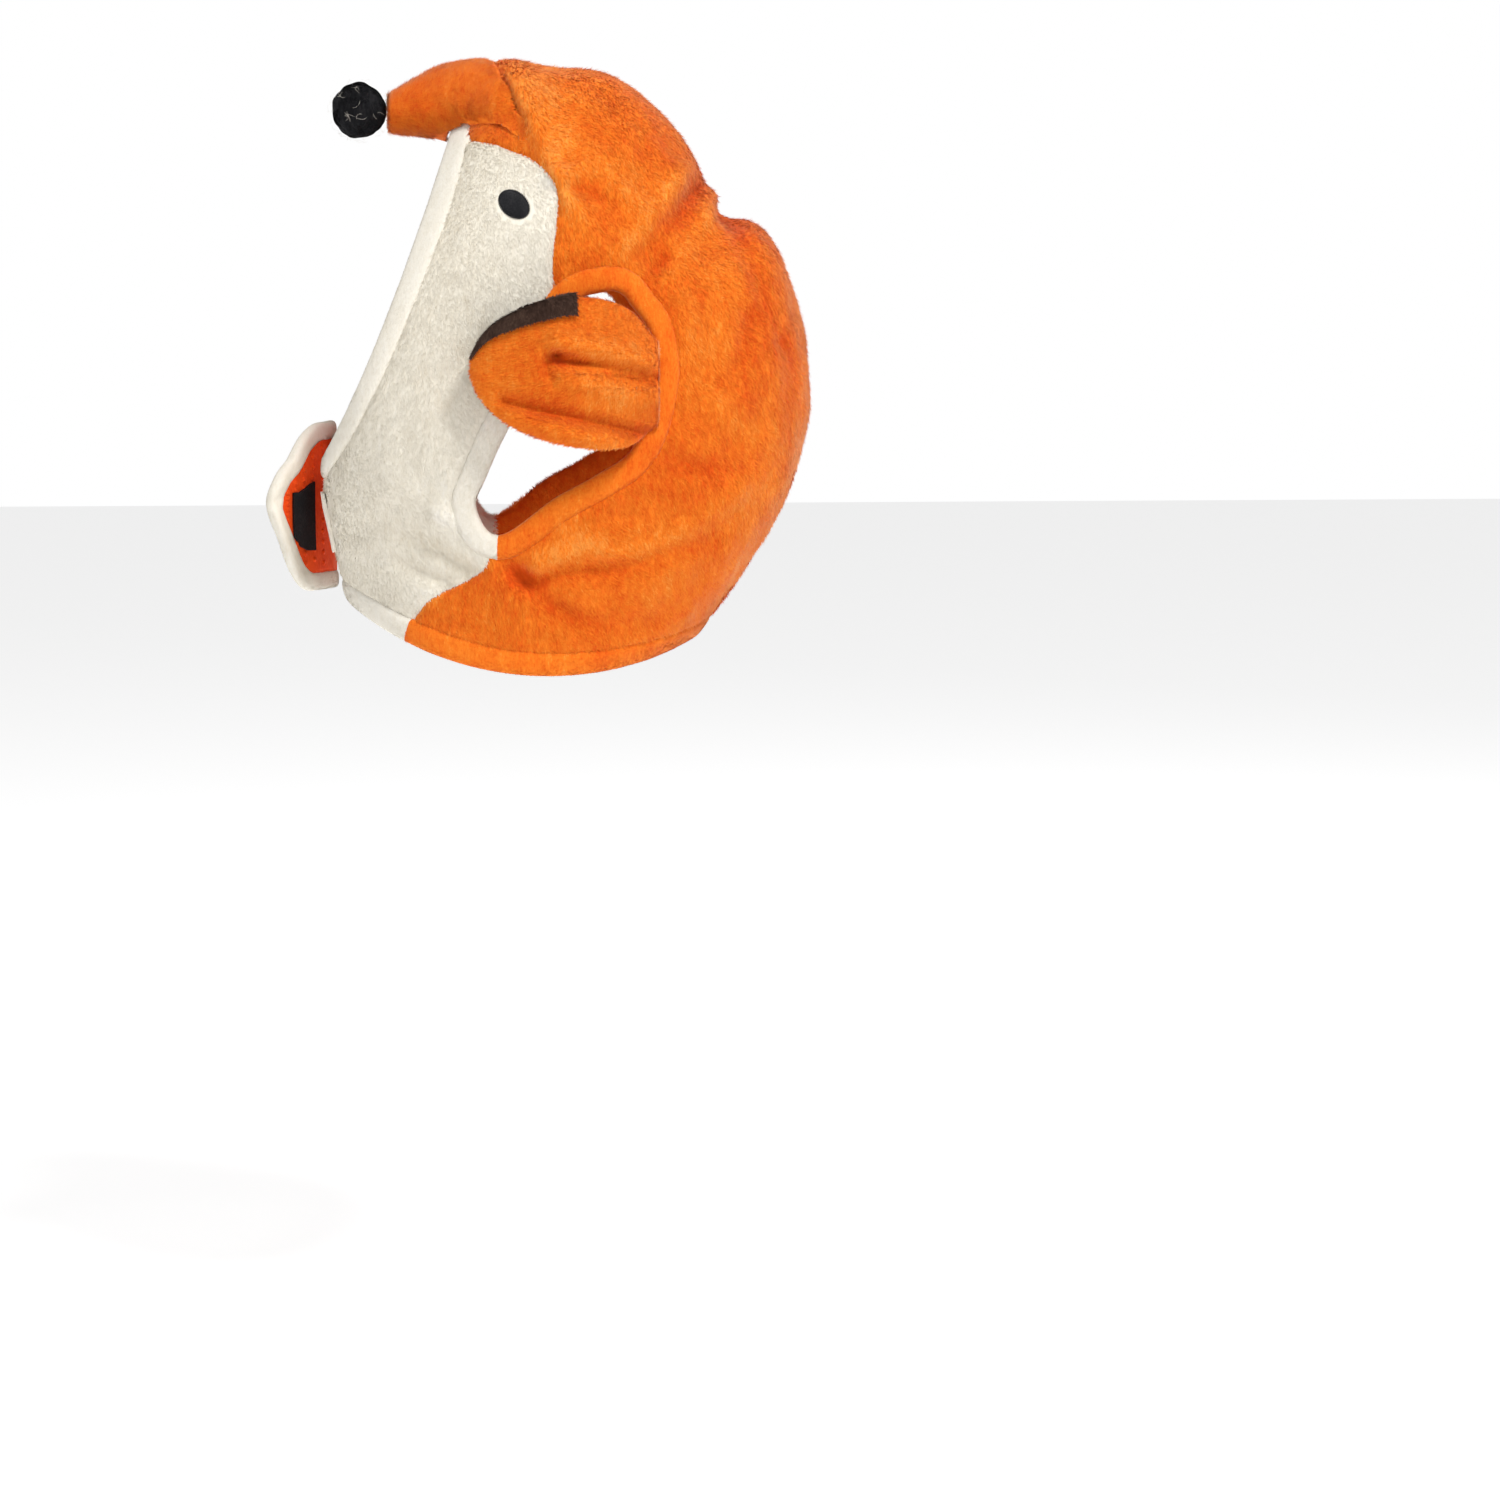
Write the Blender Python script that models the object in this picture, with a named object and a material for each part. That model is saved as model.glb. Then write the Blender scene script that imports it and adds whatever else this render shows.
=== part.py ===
"""Plush fox hood for a dog, at rest, in metres, +Z up.

The face opening looks along -Y, the dog's left side is +X and X = 0 is the middle.
The origin is the seat: the top of the inside, where the hood rests on a head.
Sizes below are millimetres. Shares are of HOOD_DEPTH along Y and of HOOD_HEIGHT along Z,
counted from the front of the throat and from the lowest point of the side view.
"""

import math

import bmesh
import bpy
import numpy as np
from mathutils import Vector
from mathutils.geometry import delaunay_2d_cdt
from mathutils.kdtree import KDTree

HOOD_DEPTH = 206.0
HOOD_HEIGHT = 260.0
HOOD_WIDTH = 136.0
SEAT_DEPTH_SHARE = 0.57

PLUSH = 2.2
LINING = 1.2
SEAM_GAP = 0.3
LAYER_GAP = 0.65
HEM_WIDTH = 10.5
HEM_THICKNESS = 5.2
HEM_PROUD = 0.9

EAR_THICKNESS = 6.5
EAR_TIP_COVER = 1.5
POMPOM_DIAMETER = 26.4
POMPOM_TUFT = 1.6
EYE_LENGTH = 14.0
EYE_WIDTH = 10.0
EYE_THICKNESS = 1.0
FLAP_REACH = 20.0
PATCH_THICKNESS = 1.2
HOOK_LENGTH = 26.0
HOOK_WIDTH = 12.0
FLAP_DEPTH_SHARE = 0.0105
FLAP_START = 0.03
FLAP_HEM_WIDTH = 8.0
FLAP_PATCH_PLACE = (0.42, 0.47)

LEFT_THROAT_END = math.radians(-8)
RIGHT_THROAT_END = math.radians(340)

COARSE = 17.0
FINE = 8.5
EDGE_STEP = 9.6
HEM_SIDES = 8

# Ring sections from face edge to neck rim
# top depth, top height, throat depth, throat height, half width, bow, skew, fullness
SECTIONS = [
    (0.269, 0.900, 0.004, 0.377, 0.68, 0.012, 0.15, 0.05),
    (0.377, 0.969, 0.000, 0.355, 0.76, 0.013, 0.14, 0.06),
    (0.489, 0.994, 0.000, 0.332, 0.84, 0.015, 0.12, 0.08),
    (0.611, 0.978, 0.002, 0.310, 0.91, 0.018, 0.10, 0.10),
    (0.733, 0.892, 0.006, 0.287, 0.96, 0.023, 0.08, 0.10),
    (0.815, 0.779, 0.012, 0.266, 0.99, 0.027, 0.06, 0.10),
    (0.912, 0.732, 0.018, 0.245, 1.00, 0.032, 0.04, 0.10),
    (0.980, 0.610, 0.022, 0.224, 1.00, 0.038, 0.02, 0.10),
    (1.000, 0.469, 0.029, 0.203, 0.98, 0.047, 0.00, 0.08),
    (0.971, 0.340, 0.035, 0.182, 0.94, 0.055, 0.00, 0.06),
    (0.880, 0.206, 0.041, 0.160, 0.90, 0.064, 0.00, 0.04),
    (0.768, 0.081, 0.051, 0.134, 0.86, 0.073, 0.00, 0.02),
]

# Folds of the hood in side view
# start depth, start height, middle depth, middle height, end depth, end height,
# width on the left of the run, width on its right, rise at start, rise at end
FOLDS = [
    (0.372, 0.975, 0.425, 0.915, 0.466, 0.822, 14.0, 4.0, 10.5, 1.8),
    (0.475, 0.815, 0.515, 0.835, 0.555, 0.862, 5.0, 5.0, 2.4, 1.2),
    (0.500, 0.840, 0.540, 0.855, 0.575, 0.872, 4.0, 4.0, -1.6, -0.6),
    (0.800, 0.790, 0.745, 0.720, 0.690, 0.665, 5.0, 5.0, 2.6, 1.0),
    (0.765, 0.800, 0.710, 0.750, 0.645, 0.700, 5.0, 5.0, -2.0, -0.8),
    (0.735, 0.835, 0.680, 0.780, 0.625, 0.725, 5.0, 5.0, 1.6, 0.6),
    (0.820, 0.770, 0.870, 0.680, 0.900, 0.590, 6.0, 6.0, -1.8, -0.6),
    (0.430, 0.215, 0.500, 0.240, 0.640, 0.275, 5.0, 5.0, 2.2, 0.6),
    (0.400, 0.195, 0.520, 0.200, 0.780, 0.250, 5.0, 5.0, -2.0, -0.6),
    (0.380, 0.205, 0.430, 0.170, 0.500, 0.130, 5.0, 5.0, -1.6, -0.6),
    (0.290, 0.205, 0.200, 0.245, 0.135, 0.275, 5.0, 5.0, -1.8, -0.6),
    (0.240, 0.290, 0.290, 0.268, 0.330, 0.220, 5.0, 5.0, 1.8, 0.8),
    (0.245, 0.185, 0.195, 0.200, 0.155, 0.215, 4.0, 4.0, -1.4, -0.6),
]

# Edge of the ear opening in side view, from its lower end up the front and down the rear
OPENING = [
    (0.351, 0.258),
    (0.308, 0.302),
    (0.324, 0.343),
    (0.376, 0.430),
    (0.452, 0.553),
    (0.498, 0.615),
    (0.549, 0.637),
    (0.614, 0.629),
    (0.661, 0.558),
    (0.663, 0.493),
    (0.621, 0.396),
    (0.549, 0.354),
    (0.458, 0.314),
]
OPENING_TOP = 5 / 13

# Seam of cream to orange in side view, above and below the ear opening
UPPER_SEAM = [
    (0.222, 0.886),
    (0.300, 0.880),
    (0.364, 0.868),
    (0.424, 0.848),
    (0.460, 0.822),
    (0.476, 0.790),
    (0.472, 0.740),
    (0.464, 0.685),
    (0.466, 0.610),
    (0.500, 0.560),
]
LOWER_SEAM = [
    (0.400, 0.330),
    (0.352, 0.258),
    (0.341, 0.240),
    (0.322, 0.205),
    (0.286, 0.184),
    (0.226, 0.161),
    (0.188, 0.130),
    (0.166, 0.085),
    (0.158, 0.000),
]

# Ear from its sewn end to its tip in side view
# depth, height, half breadth, lift off the hood in mm
EAR_ROWS = [
    (0.652, 0.500, 0.078, 3.3),
    (0.615, 0.506, 0.104, 7.0),
    (0.560, 0.512, 0.115, 12.0),
    (0.500, 0.516, 0.114, 16.0),
    (0.446, 0.516, 0.104, 16.5),
    (0.392, 0.516, 0.088, 14.5),
    (0.346, 0.518, 0.066, 12.5),
    (0.318, 0.520, 0.040, 11.5),
    (0.302, 0.522, 0.014, 11.0),
]
EAR_FOLDS = [
    (0.470, 0.552, 0.530, 0.538, 0.655, 0.516, 3.5, 3.5, -2.6, -1.6),
    (0.470, 0.535, 0.540, 0.523, 0.640, 0.505, 4.0, 4.0, 1.6, 1.2),
    (0.375, 0.482, 0.480, 0.462, 0.630, 0.440, 3.5, 3.5, -2.0, -1.6),
]

# Snout from nose to brow
# depth, height of middle, half height, half width in mm
SNOUT_ROWS = [
    (0.138, 0.922, 0.030, 8.0),
    (0.165, 0.927, 0.039, 10.5),
    (0.200, 0.934, 0.047, 13.5),
    (0.250, 0.938, 0.059, 18.0),
    (0.305, 0.930, 0.073, 25.0),
    (0.350, 0.910, 0.087, 34.0),
    (0.395, 0.884, 0.092, 42.0),
    (0.440, 0.850, 0.088, 48.0),
]
POMPOM_PLACE = (0.084, 0.927)
EYE_PLACE = (0.390, 0.774)
EYE_TURN = math.radians(45)

# Chin flap from its seam to its free edge
# share of the reach, sideways in mm, top height, bottom height
FLAP_ROWS = [
    (0.00, -23.0, 0.440, 0.134),
    (0.20, -14.0, 0.438, 0.134),
    (0.42, -6.0, 0.420, 0.138),
    (0.62, 0.0, 0.388, 0.166),
    (0.80, 4.5, 0.366, 0.216),
    (0.93, 8.0, 0.340, 0.252),
    (1.00, 10.0, 0.322, 0.282),
]

ORANGE = (0.83, 0.17, 0.010)
LINING_RED = (0.79, 0.062, 0.002)
CREAM = (0.83, 0.77, 0.64)
BROWN = (0.062, 0.032, 0.021)
BLACK = (0.008, 0.008, 0.010)


def spline(rows, share):
    """Smooth curve through the rows, with share 0 at the first and 1 at the last."""
    rows = np.asarray(rows, float)
    last = len(rows) - 1
    x = np.asarray(share, float) * last
    inside = np.clip(x, 0, last)
    i = np.clip(np.floor(inside).astype(int), 0, last - 1)
    f = (inside - i)[..., None]
    pad = np.vstack([2 * rows[0] - rows[1], rows, 2 * rows[-1] - rows[-2]])
    p0, p1, p2, p3 = (pad[i + k] for k in range(4))
    value = 0.5 * (
        2 * p1
        + (p2 - p0) * f
        + (2 * p0 - 5 * p1 + 4 * p2 - p3) * f**2
        + (3 * p1 - p0 - 3 * p2 + p3) * f**3
    )
    slope = np.where(x[..., None] < 0, rows[1] - rows[0], rows[-1] - rows[-2])
    return value + (x - inside)[..., None] * slope


def placed(shares):
    """Side view shares as (Y, Z) in mm, before the seat is taken off."""
    shares = np.asarray(shares, float)
    return (shares - np.array([SEAT_DEPTH_SHARE, 0.0])) * (HOOD_DEPTH, HOOD_HEIGHT)


def relief(side, folds):
    """Rise of all the folds at side view points."""
    total = np.zeros(side.shape[:-1])
    step = np.linspace(0, 1, 11)[:, None]
    for row in folds:
        p0, p1, p2 = placed(np.reshape(row[:6], (3, 2)))
        run = (
            p0 * 2 * (step - 0.5) * (step - 1)
            - p1 * 4 * step * (step - 1)
            + p2 * 2 * step * (step - 0.5)
        )
        best = np.full(total.shape, 1e9)
        signed = np.zeros(total.shape)
        along = np.zeros(total.shape)
        for k, (a, b) in enumerate(zip(run[:-1], run[1:])):
            d = b - a
            rel = side - a
            u = np.clip((rel @ d) / (d @ d), 0, 1)
            off = rel - u[..., None] * d
            far = np.hypot(off[..., 0], off[..., 1])
            turn = d[0] * rel[..., 1] - d[1] * rel[..., 0]
            near = far < best
            best = np.where(near, far, best)
            signed = np.where(near, np.sign(turn) * far, signed)
            along = np.where(near, (k + u) / 10, along)
        width = np.where(signed > 0, row[6], row[7])
        total += (row[8] + (row[9] - row[8]) * along) * np.exp(-((best / width) ** 2))
    return total


def bare(at):
    """Hood surface with no folds at (ring angle, ring share)."""
    a, t = at[..., 0], at[..., 1]
    row = spline(SECTIONS, t)
    top = placed(row[..., 0:2])
    throat = placed(row[..., 2:4])
    chord = top - throat
    long = np.linalg.norm(chord, axis=-1, keepdims=True)
    across = np.stack([chord[..., 1], -chord[..., 0]], -1) / long
    s = np.sin(a + row[..., 6] * np.sin(a))
    w = s * (1 + row[..., 7] * (1 - s * s))
    rise = ((1 - np.cos(a)) / 2)[..., None]
    side = throat + chord * rise + across * (row[..., 5] * HOOD_HEIGHT * w * w)[..., None]
    return np.concatenate([(row[..., 4] * HOOD_WIDTH / 2 * w)[..., None], side], -1)


def outward(at, surface):
    """Unit normal of a surface by small differences."""
    e = 1e-4
    da = surface(at + (e, 0)) - surface(at - (e, 0))
    dt = surface(at + (0, e)) - surface(at - (0, e))
    n = np.cross(dt, da)
    return n / np.linalg.norm(n, axis=-1, keepdims=True)


def skin(at, depth=0.0, lining=False):
    """Hood surface with its folds, at a depth below the outer face."""
    at = np.asarray(at, float)
    base = bare(at)
    rise = relief(base[..., 1:], FOLDS)
    if lining:
        rise = np.minimum(rise, 0.35 * rise)
    return base + outward(at, bare) * (rise - depth)[..., None]


GRID_A = np.linspace(-0.6, 2 * math.pi, 220)
GRID_T = np.linspace(-0.03, 1.03, 110)
GRID = np.stack(np.meshgrid(GRID_A, GRID_T, indexing="ij"), -1)
GRID_SKIN = skin(GRID)


def flat_table():
    """Unrolled position of every grid point: ring length along each ring's side view line."""
    zero = int(np.argmin(np.abs(GRID_A)))
    steps = np.linalg.norm(np.diff(bare(GRID), axis=0), axis=-1)
    run = np.vstack([np.zeros((1, len(GRID_T))), np.cumsum(steps, axis=0)])
    run -= run[zero]
    row = spline(SECTIONS, GRID_T)
    throat = placed(row[:, 2:4])
    chord = placed(row[:, 0:2]) - throat
    chord /= np.linalg.norm(chord, axis=-1, keepdims=True)
    return throat[None] + run[..., None] * chord[None]


FLAT = flat_table()


def flat(at):
    """Unrolled position of (ring angle, ring share) points."""
    at = np.asarray(at, float)
    x = (at[..., 0] - GRID_A[0]) / (GRID_A[1] - GRID_A[0])
    y = (at[..., 1] - GRID_T[0]) / (GRID_T[1] - GRID_T[0])
    i = np.clip(np.floor(x).astype(int), 0, len(GRID_A) - 2)
    j = np.clip(np.floor(y).astype(int), 0, len(GRID_T) - 2)
    u, v = (x - i)[..., None], (y - j)[..., None]
    low = FLAT[i, j] * (1 - u) + FLAT[i + 1, j] * u
    high = FLAT[i, j + 1] * (1 - u) + FLAT[i + 1, j + 1] * u
    return low * (1 - v) + high * v


def tree_of(points):
    tree = KDTree(len(points))
    for k, p in enumerate(points):
        tree.insert(Vector((*p, 0.0)) if len(p) == 2 else Vector(p), k)
    tree.balance()
    return tree


LEFT_HALF = (GRID_A >= 0) & (GRID_A <= math.pi)
LEFT_GRID = GRID[LEFT_HALF].reshape(-1, 2)
LEFT_SIDE_TREE = tree_of(GRID_SKIN[LEFT_HALF].reshape(-1, 3)[:, 1:])
SKIN_TREE = tree_of(GRID_SKIN.reshape(-1, 3))
FLAT_TREE = tree_of(FLAT.reshape(-1, 2))


def solved(at, goal, value):
    """Newton steps on (ring angle, ring share) until value(at) lies nearest to the goal."""
    at = np.array(at, float)
    e = 1e-4
    for _ in range(8):
        miss = goal - value(at)
        ja = (value(at + (e, 0)) - value(at - (e, 0))) / (2 * e)
        jt = (value(at + (0, e)) - value(at - (0, e))) / (2 * e)
        jac = np.stack([ja, jt], -1)
        square = np.einsum("...ki,...kj->...ij", jac, jac) + np.eye(2) * 1e-6
        pull = np.einsum("...ki,...k->...i", jac, miss)
        move = np.linalg.solve(square, pull[..., None])[..., 0]
        at += np.clip(move, (-0.15, -0.05), (0.15, 0.05))
    return at


def located(shares):
    """Ring coordinates on the left side of side view points given as shares."""
    side = placed(shares)
    start = [LEFT_GRID[LEFT_SIDE_TREE.find(Vector((*p, 0.0)))[1]] for p in side]
    return solved(start, side, lambda at: skin(at)[..., 1:])


def foot(points, start=None):
    """Ring coordinates of the nearest skin points."""
    points = np.asarray(points, float)
    if start is None:
        cells = GRID.reshape(-1, 2)
        start = [cells[SKIN_TREE.find(Vector(p))[1]] for p in points]
    return solved(start, points, skin)


def resampled(path, step, closed=False):
    """Smooth path through ring coordinates, with even steps along the skin."""
    path = np.asarray(path, float)
    if closed:
        path = np.vstack([path[-2:], path, path[:3]])
    fine = spline(path, np.linspace(0, 1, 40 * len(path)))
    if closed:
        first, last = 2 / (len(path) - 1), 1 - 2 / (len(path) - 1)
        fine = spline(path, np.linspace(first, last, 40 * len(path)))
    lengths = np.linalg.norm(np.diff(bare(fine), axis=0), axis=-1)
    run = np.concatenate([[0], np.cumsum(lengths)])
    count = max(3, int(round(run[-1] / step)))
    marks = np.linspace(0, run[-1], count + 1)
    if closed:
        marks = marks[:-1]
    return np.stack([np.interp(marks, run, fine[:, k]) for k in (0, 1)], -1)


def frames(path, closed=False):
    """Position, run direction, outward normal and the direction across for a path on the skin."""
    p = bare(path)
    if closed:
        run = np.roll(p, -1, axis=0) - np.roll(p, 1, axis=0)
    else:
        run = np.gradient(p, axis=0)
    run /= np.linalg.norm(run, axis=-1, keepdims=True)
    n = outward(path, bare)
    n -= run * (n * run).sum(-1, keepdims=True)
    n /= np.linalg.norm(n, axis=-1, keepdims=True)
    return p, run, n, np.cross(run, n)


def shifted(path, distance, closed=False):
    """The path moved across itself along the skin."""
    p, _, _, across = frames(path, closed)
    return solved(path, p + across * distance, bare)


def crossing(one, two):
    """Where one path first meets another: cut positions along both."""
    f1, f2 = flat(one), flat(two)
    a, b = f1[:-1, None], f1[1:, None]
    c, d = f2[None, :-1], f2[None, 1:]
    r, s = b - a, d - c
    cross = r[..., 0] * s[..., 1] - r[..., 1] * s[..., 0]
    cross = np.where(np.abs(cross) < 1e-12, 1e-12, cross)
    q = c - a
    u = (q[..., 0] * s[..., 1] - q[..., 1] * s[..., 0]) / cross
    v = (q[..., 0] * r[..., 1] - q[..., 1] * r[..., 0]) / cross
    hit = np.argwhere((u >= 0) & (u <= 1) & (v >= 0) & (v <= 1))
    if not len(hit):
        raise ValueError("two boundary paths never meet")
    i, j = hit[0]
    return i + u[i, j], j + v[i, j]


def at_mark(path, mark):
    i = min(int(mark), len(path) - 2)
    return path[i] + (path[i + 1] - path[i]) * (mark - i)


def cut(path, start, end):
    """Part of a path between two marks, with the marks as its ends."""
    inner = [k for k in range(len(path)) if start + 0.12 < k < end - 0.12]
    return np.vstack([at_mark(path, start), *[path[k] for k in inner], at_mark(path, end)])


def outline(paths):
    """Closed outline from paths that each cross the next."""
    count = len(paths)
    marks = [crossing(paths[k], paths[(k + 1) % count]) for k in range(count)]
    loop = []
    for k, path in enumerate(paths):
        start = marks[k - 1][1]
        end = marks[k][0]
        loop.extend(cut(path, start, end)[:-1])
    return np.array(loop)


def inside(points, loop):
    a, b = loop, np.roll(loop, -1, axis=0)
    x, y = points[:, None, 0], points[:, None, 1]
    up = (a[None, :, 1] > y) != (b[None, :, 1] > y)
    rise = np.where(b[:, 1] == a[:, 1], 1e-12, b[:, 1] - a[:, 1])
    at = a[None, :, 0] + (y - a[None, :, 1]) * ((b[:, 0] - a[:, 0]) / rise)[None]
    return ((x < at) & up).sum(1) % 2 == 1


def clear_of(points, loop):
    """Distance from each point to a closed line."""
    a, b = loop[None], np.roll(loop, -1, axis=0)[None]
    d = b - a
    rel = points[:, None] - a
    u = np.clip((rel * d).sum(-1) / np.maximum((d * d).sum(-1), 1e-12), 0, 1)
    return np.linalg.norm(rel - u[..., None] * d, axis=-1).min(1)


def fold_lines():
    """Ring coordinates along the crest and flanks of every fold, on the left side."""
    found = []
    for row in FOLDS:
        p0, p1, p2 = np.reshape(row[:6], (3, 2))
        count = 6 if row[8] > 5 else 4
        s = np.linspace(0.06, 0.94, 2 * count if row[8] > 5 else count)[:, None]
        run = p0 * 2 * (s - 0.5) * (s - 1) - p1 * 4 * s * (s - 1) + p2 * 2 * s * (s - 0.5)
        d = np.gradient(run, axis=0) * (HOOD_DEPTH, HOOD_HEIGHT)
        d = np.stack([-d[:, 1], d[:, 0]], -1) / np.linalg.norm(d, axis=-1, keepdims=True)
        for off in (0.0, 1.5 * row[6], -1.5 * row[7]):
            found.append(located(run + d * off / (HOOD_DEPTH, HOOD_HEIGHT)))
    found = np.vstack(found)
    return found[(found[:, 0] > 0.1) & (found[:, 0] < math.pi - 0.02)]


def mirrored(at):
    """The same place on the other side."""
    return np.stack([2 * math.pi - at[..., 0], at[..., 1]], -1)


def spread(loop, extra):
    """Ring coordinates of points inside a loop, closer together near the extra points."""
    f_loop = flat(loop)
    f_extra = flat(extra)
    low, high = f_loop.min(0), f_loop.max(0)
    xs = np.arange(low[0], high[0], FINE)
    ys = np.arange(low[1], high[1], FINE * 0.866)
    lattice = np.array([(x + (k % 2) * FINE / 2, y) for k, y in enumerate(ys) for x in xs])
    near = np.linalg.norm(lattice[:, None] - f_extra[None], axis=-1).min(1)
    wanted = np.where(near < 10, FINE, COARSE)
    order = np.argsort(wanted, kind="stable")
    pool = np.vstack([f_extra, lattice[order]])
    reach = np.concatenate([np.full(len(f_extra), 0.5 * FINE), 0.9 * wanted[order]])
    keep = inside(pool, f_loop) & (clear_of(pool, f_loop) > 4.0)
    pool, reach = pool[keep], reach[keep]
    chosen = []
    for p, r in zip(pool, reach):
        if not chosen or np.linalg.norm(np.array(chosen) - p, axis=-1).min() > r:
            chosen.append(p)
    cells = GRID.reshape(-1, 2)
    guess = [cells[FLAT_TREE.find(Vector((*p, 0.0)))[1]] for p in chosen]
    return solved(guess, np.array(chosen), flat)


def sheet(loop, inner, holes=()):
    """Ring coordinates and triangles that fill a loop round the given inner points."""
    f_loop = flat(loop)
    f_holes = [flat(h) for h in holes]
    points = np.vstack([loop, *holes, inner])
    spots = flat(points)
    edges = []
    start = 0
    for ring in [loop, *holes]:
        n = len(ring)
        edges += [(start + k, start + (k + 1) % n) for k in range(n)]
        start += n
    out = delaunay_2d_cdt([Vector(p) for p in spots], edges, [], 0, 1e-6, True)
    spots_out = np.array([tuple(v) for v in out[0]])
    source = [ids[0] for ids in out[3]]
    tris = np.array(out[2])
    middle = spots_out[tris].mean(1)
    keep = inside(middle, f_loop)
    for h in f_holes:
        keep &= ~inside(middle, h)
    tris = np.array(source)[tris[keep]]
    return points, tris


def thick(at, tris, near, far, lining=False):
    """Closed body between two depths under the skin."""
    outer = skin(at, near, lining)
    inner = skin(at, far, lining)
    return closed_pair(outer, inner, tris)


def closed_pair(outer, inner, tris):
    n = len(outer)
    count = {}
    for t in tris:
        for a, b in ((t[0], t[1]), (t[1], t[2]), (t[2], t[0])):
            count[(a, b)] = count.get((a, b), 0) + 1
    rim = [(a, b) for (a, b) in count if (b, a) not in count]
    faces = [tuple(t) for t in tris] + [(t[0] + n, t[2] + n, t[1] + n) for t in tris]
    for a, b in rim:
        faces += [(b, a, a + n), (b, a + n, b + n)]
    used = sorted({i for f in faces for i in f})
    new = {old: k for k, old in enumerate(used)}
    verts = np.vstack([outer, inner])[used]
    return verts, [tuple(new[i] for i in f) for f in faces]


def hem_rings(path, closed=False, grow=0.0):
    """Cross-sections of a rolled hem along a path on the skin, and the way the path runs."""
    _, run, n, across = frames(path, closed)
    mid = skin(path) + n * (HEM_PROUD - HEM_THICKNESS / 2)
    turn = (np.arange(HEM_SIDES) + 0.5) * 2 * math.pi / HEM_SIDES
    u = np.sign(np.cos(turn)) * np.abs(np.cos(turn)) ** 0.55 * (HEM_WIDTH / 2 + grow)
    v = np.sign(np.sin(turn)) * np.abs(np.sin(turn)) ** 0.8 * (HEM_THICKNESS / 2 + grow)
    rings = mid[:, None] + across[:, None] * u[None, :, None] + n[:, None] * v[None, :, None]
    return rings, run


def hem_part(rings, run, start, end, start_gap=True, end_gap=True):
    """Part of a hem between two cross-sections, with half a seam gap at a joined end."""
    part = rings[start : end + 1].copy()
    if start_gap:
        part[0] += run[start] * SEAM_GAP / 2
    if end_gap:
        part[-1] -= run[end] * SEAM_GAP / 2
    return tube(part)


def tube(rings, closed=False, start_push=0.0, end_push=0.0):
    """Closed body through rings of points, with capped ends."""
    count, size = rings.shape[:2]
    verts = list(rings.reshape(-1, 3))
    faces = []
    for i in range(count if closed else count - 1):
        j = (i + 1) % count
        for k in range(size):
            m = (k + 1) % size
            a, b, c, d = i * size + k, i * size + m, j * size + m, j * size + k
            faces += [(a, b, c), (a, c, d)]
    if not closed:
        for i, push, flip in ((0, start_push, True), (count - 1, end_push, False)):
            step = rings[1].mean(0) - rings[0].mean(0) if i == 0 else None
            step = rings[-1].mean(0) - rings[-2].mean(0) if step is None else -step
            verts.append(rings[i].mean(0) + step / np.linalg.norm(step) * push)
            hub = len(verts) - 1
            for k in range(size):
                m = (k + 1) % size
                face = (i * size + k, i * size + m, hub)
                faces.append(face[::-1] if flip else face)
    return np.array(verts), faces


def material(name, colour, roughness):
    """One plain principled material."""
    made = bpy.data.materials.new(name)
    made.use_nodes = True
    shader = made.node_tree.nodes["Principled BSDF"]
    shader.inputs["Base Color"].default_value = (*colour, 1.0)
    shader.inputs["Roughness"].default_value = roughness
    shader.inputs["Metallic"].default_value = 0.0
    made.diffuse_color = (*colour, 1.0)
    return made


def add(name, body, colour, roughness=0.9, parent=None):
    """Object from points in mm, faces turned out, placed at its own middle."""
    verts, faces = body
    verts = np.asarray(verts, float) - (0.0, 0.0, SEAT_HEIGHT)
    tri = np.array([f[:3] for f in faces])
    volume = np.einsum("ij,ij->", verts[tri[:, 0]], np.cross(verts[tri[:, 1]], verts[tri[:, 2]]))
    if volume < 0:
        faces = [f[::-1] for f in faces]
    middle = np.round((verts.min(0) + verts.max(0)) / 2)
    mesh = bpy.data.meshes.new(name)
    mesh.from_pydata(((verts - middle) / 1000).tolist(), [], [[int(i) for i in f] for f in faces])
    mesh.materials.append(material(name, colour, roughness))
    made = bpy.data.objects.new(name, mesh)
    bpy.context.scene.collection.objects.link(made)
    if parent is not None:
        made.parent = parent
        middle = middle - np.array(parent["middle_mm"])
        made["middle_mm"] = [float(c) for c in middle + np.array(parent["middle_mm"])]
    else:
        made["middle_mm"] = [float(c) for c in middle]
    made.location = Vector(middle / 1000)
    return made


def flipped(body):
    """The same body on the other side of X = 0."""
    verts, faces = body
    return verts * (-1, 1, 1), [f[::-1] for f in faces]


def seat_height():
    """Height of the inside of the lining above the seat."""
    top = solved([[math.pi, 0.27]], np.array([[0.0]]), lambda at: bare(at)[..., 1:2])
    return float(skin(top, PLUSH + LAYER_GAP + LINING, True)[0, 2])


def ring_path(share_of_edge, start, end):
    """Path along a whole edge, moved inwards by half a hem."""
    angles = np.linspace(start, end, 90)
    path = np.stack([angles, np.full(90, share_of_edge)], -1)
    way = 1 if share_of_edge < 0.5 else -1
    moved = path
    for _ in range(2):
        p, _, _, across = frames(path)
        inward = bare(path + (0, way * 0.01)) - p
        sign = np.sign((inward * across).sum(-1, keepdims=True))
        moved = solved(path, p + across * sign * HEM_WIDTH / 2, bare)
    return resampled(moved, EDGE_STEP)


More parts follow.
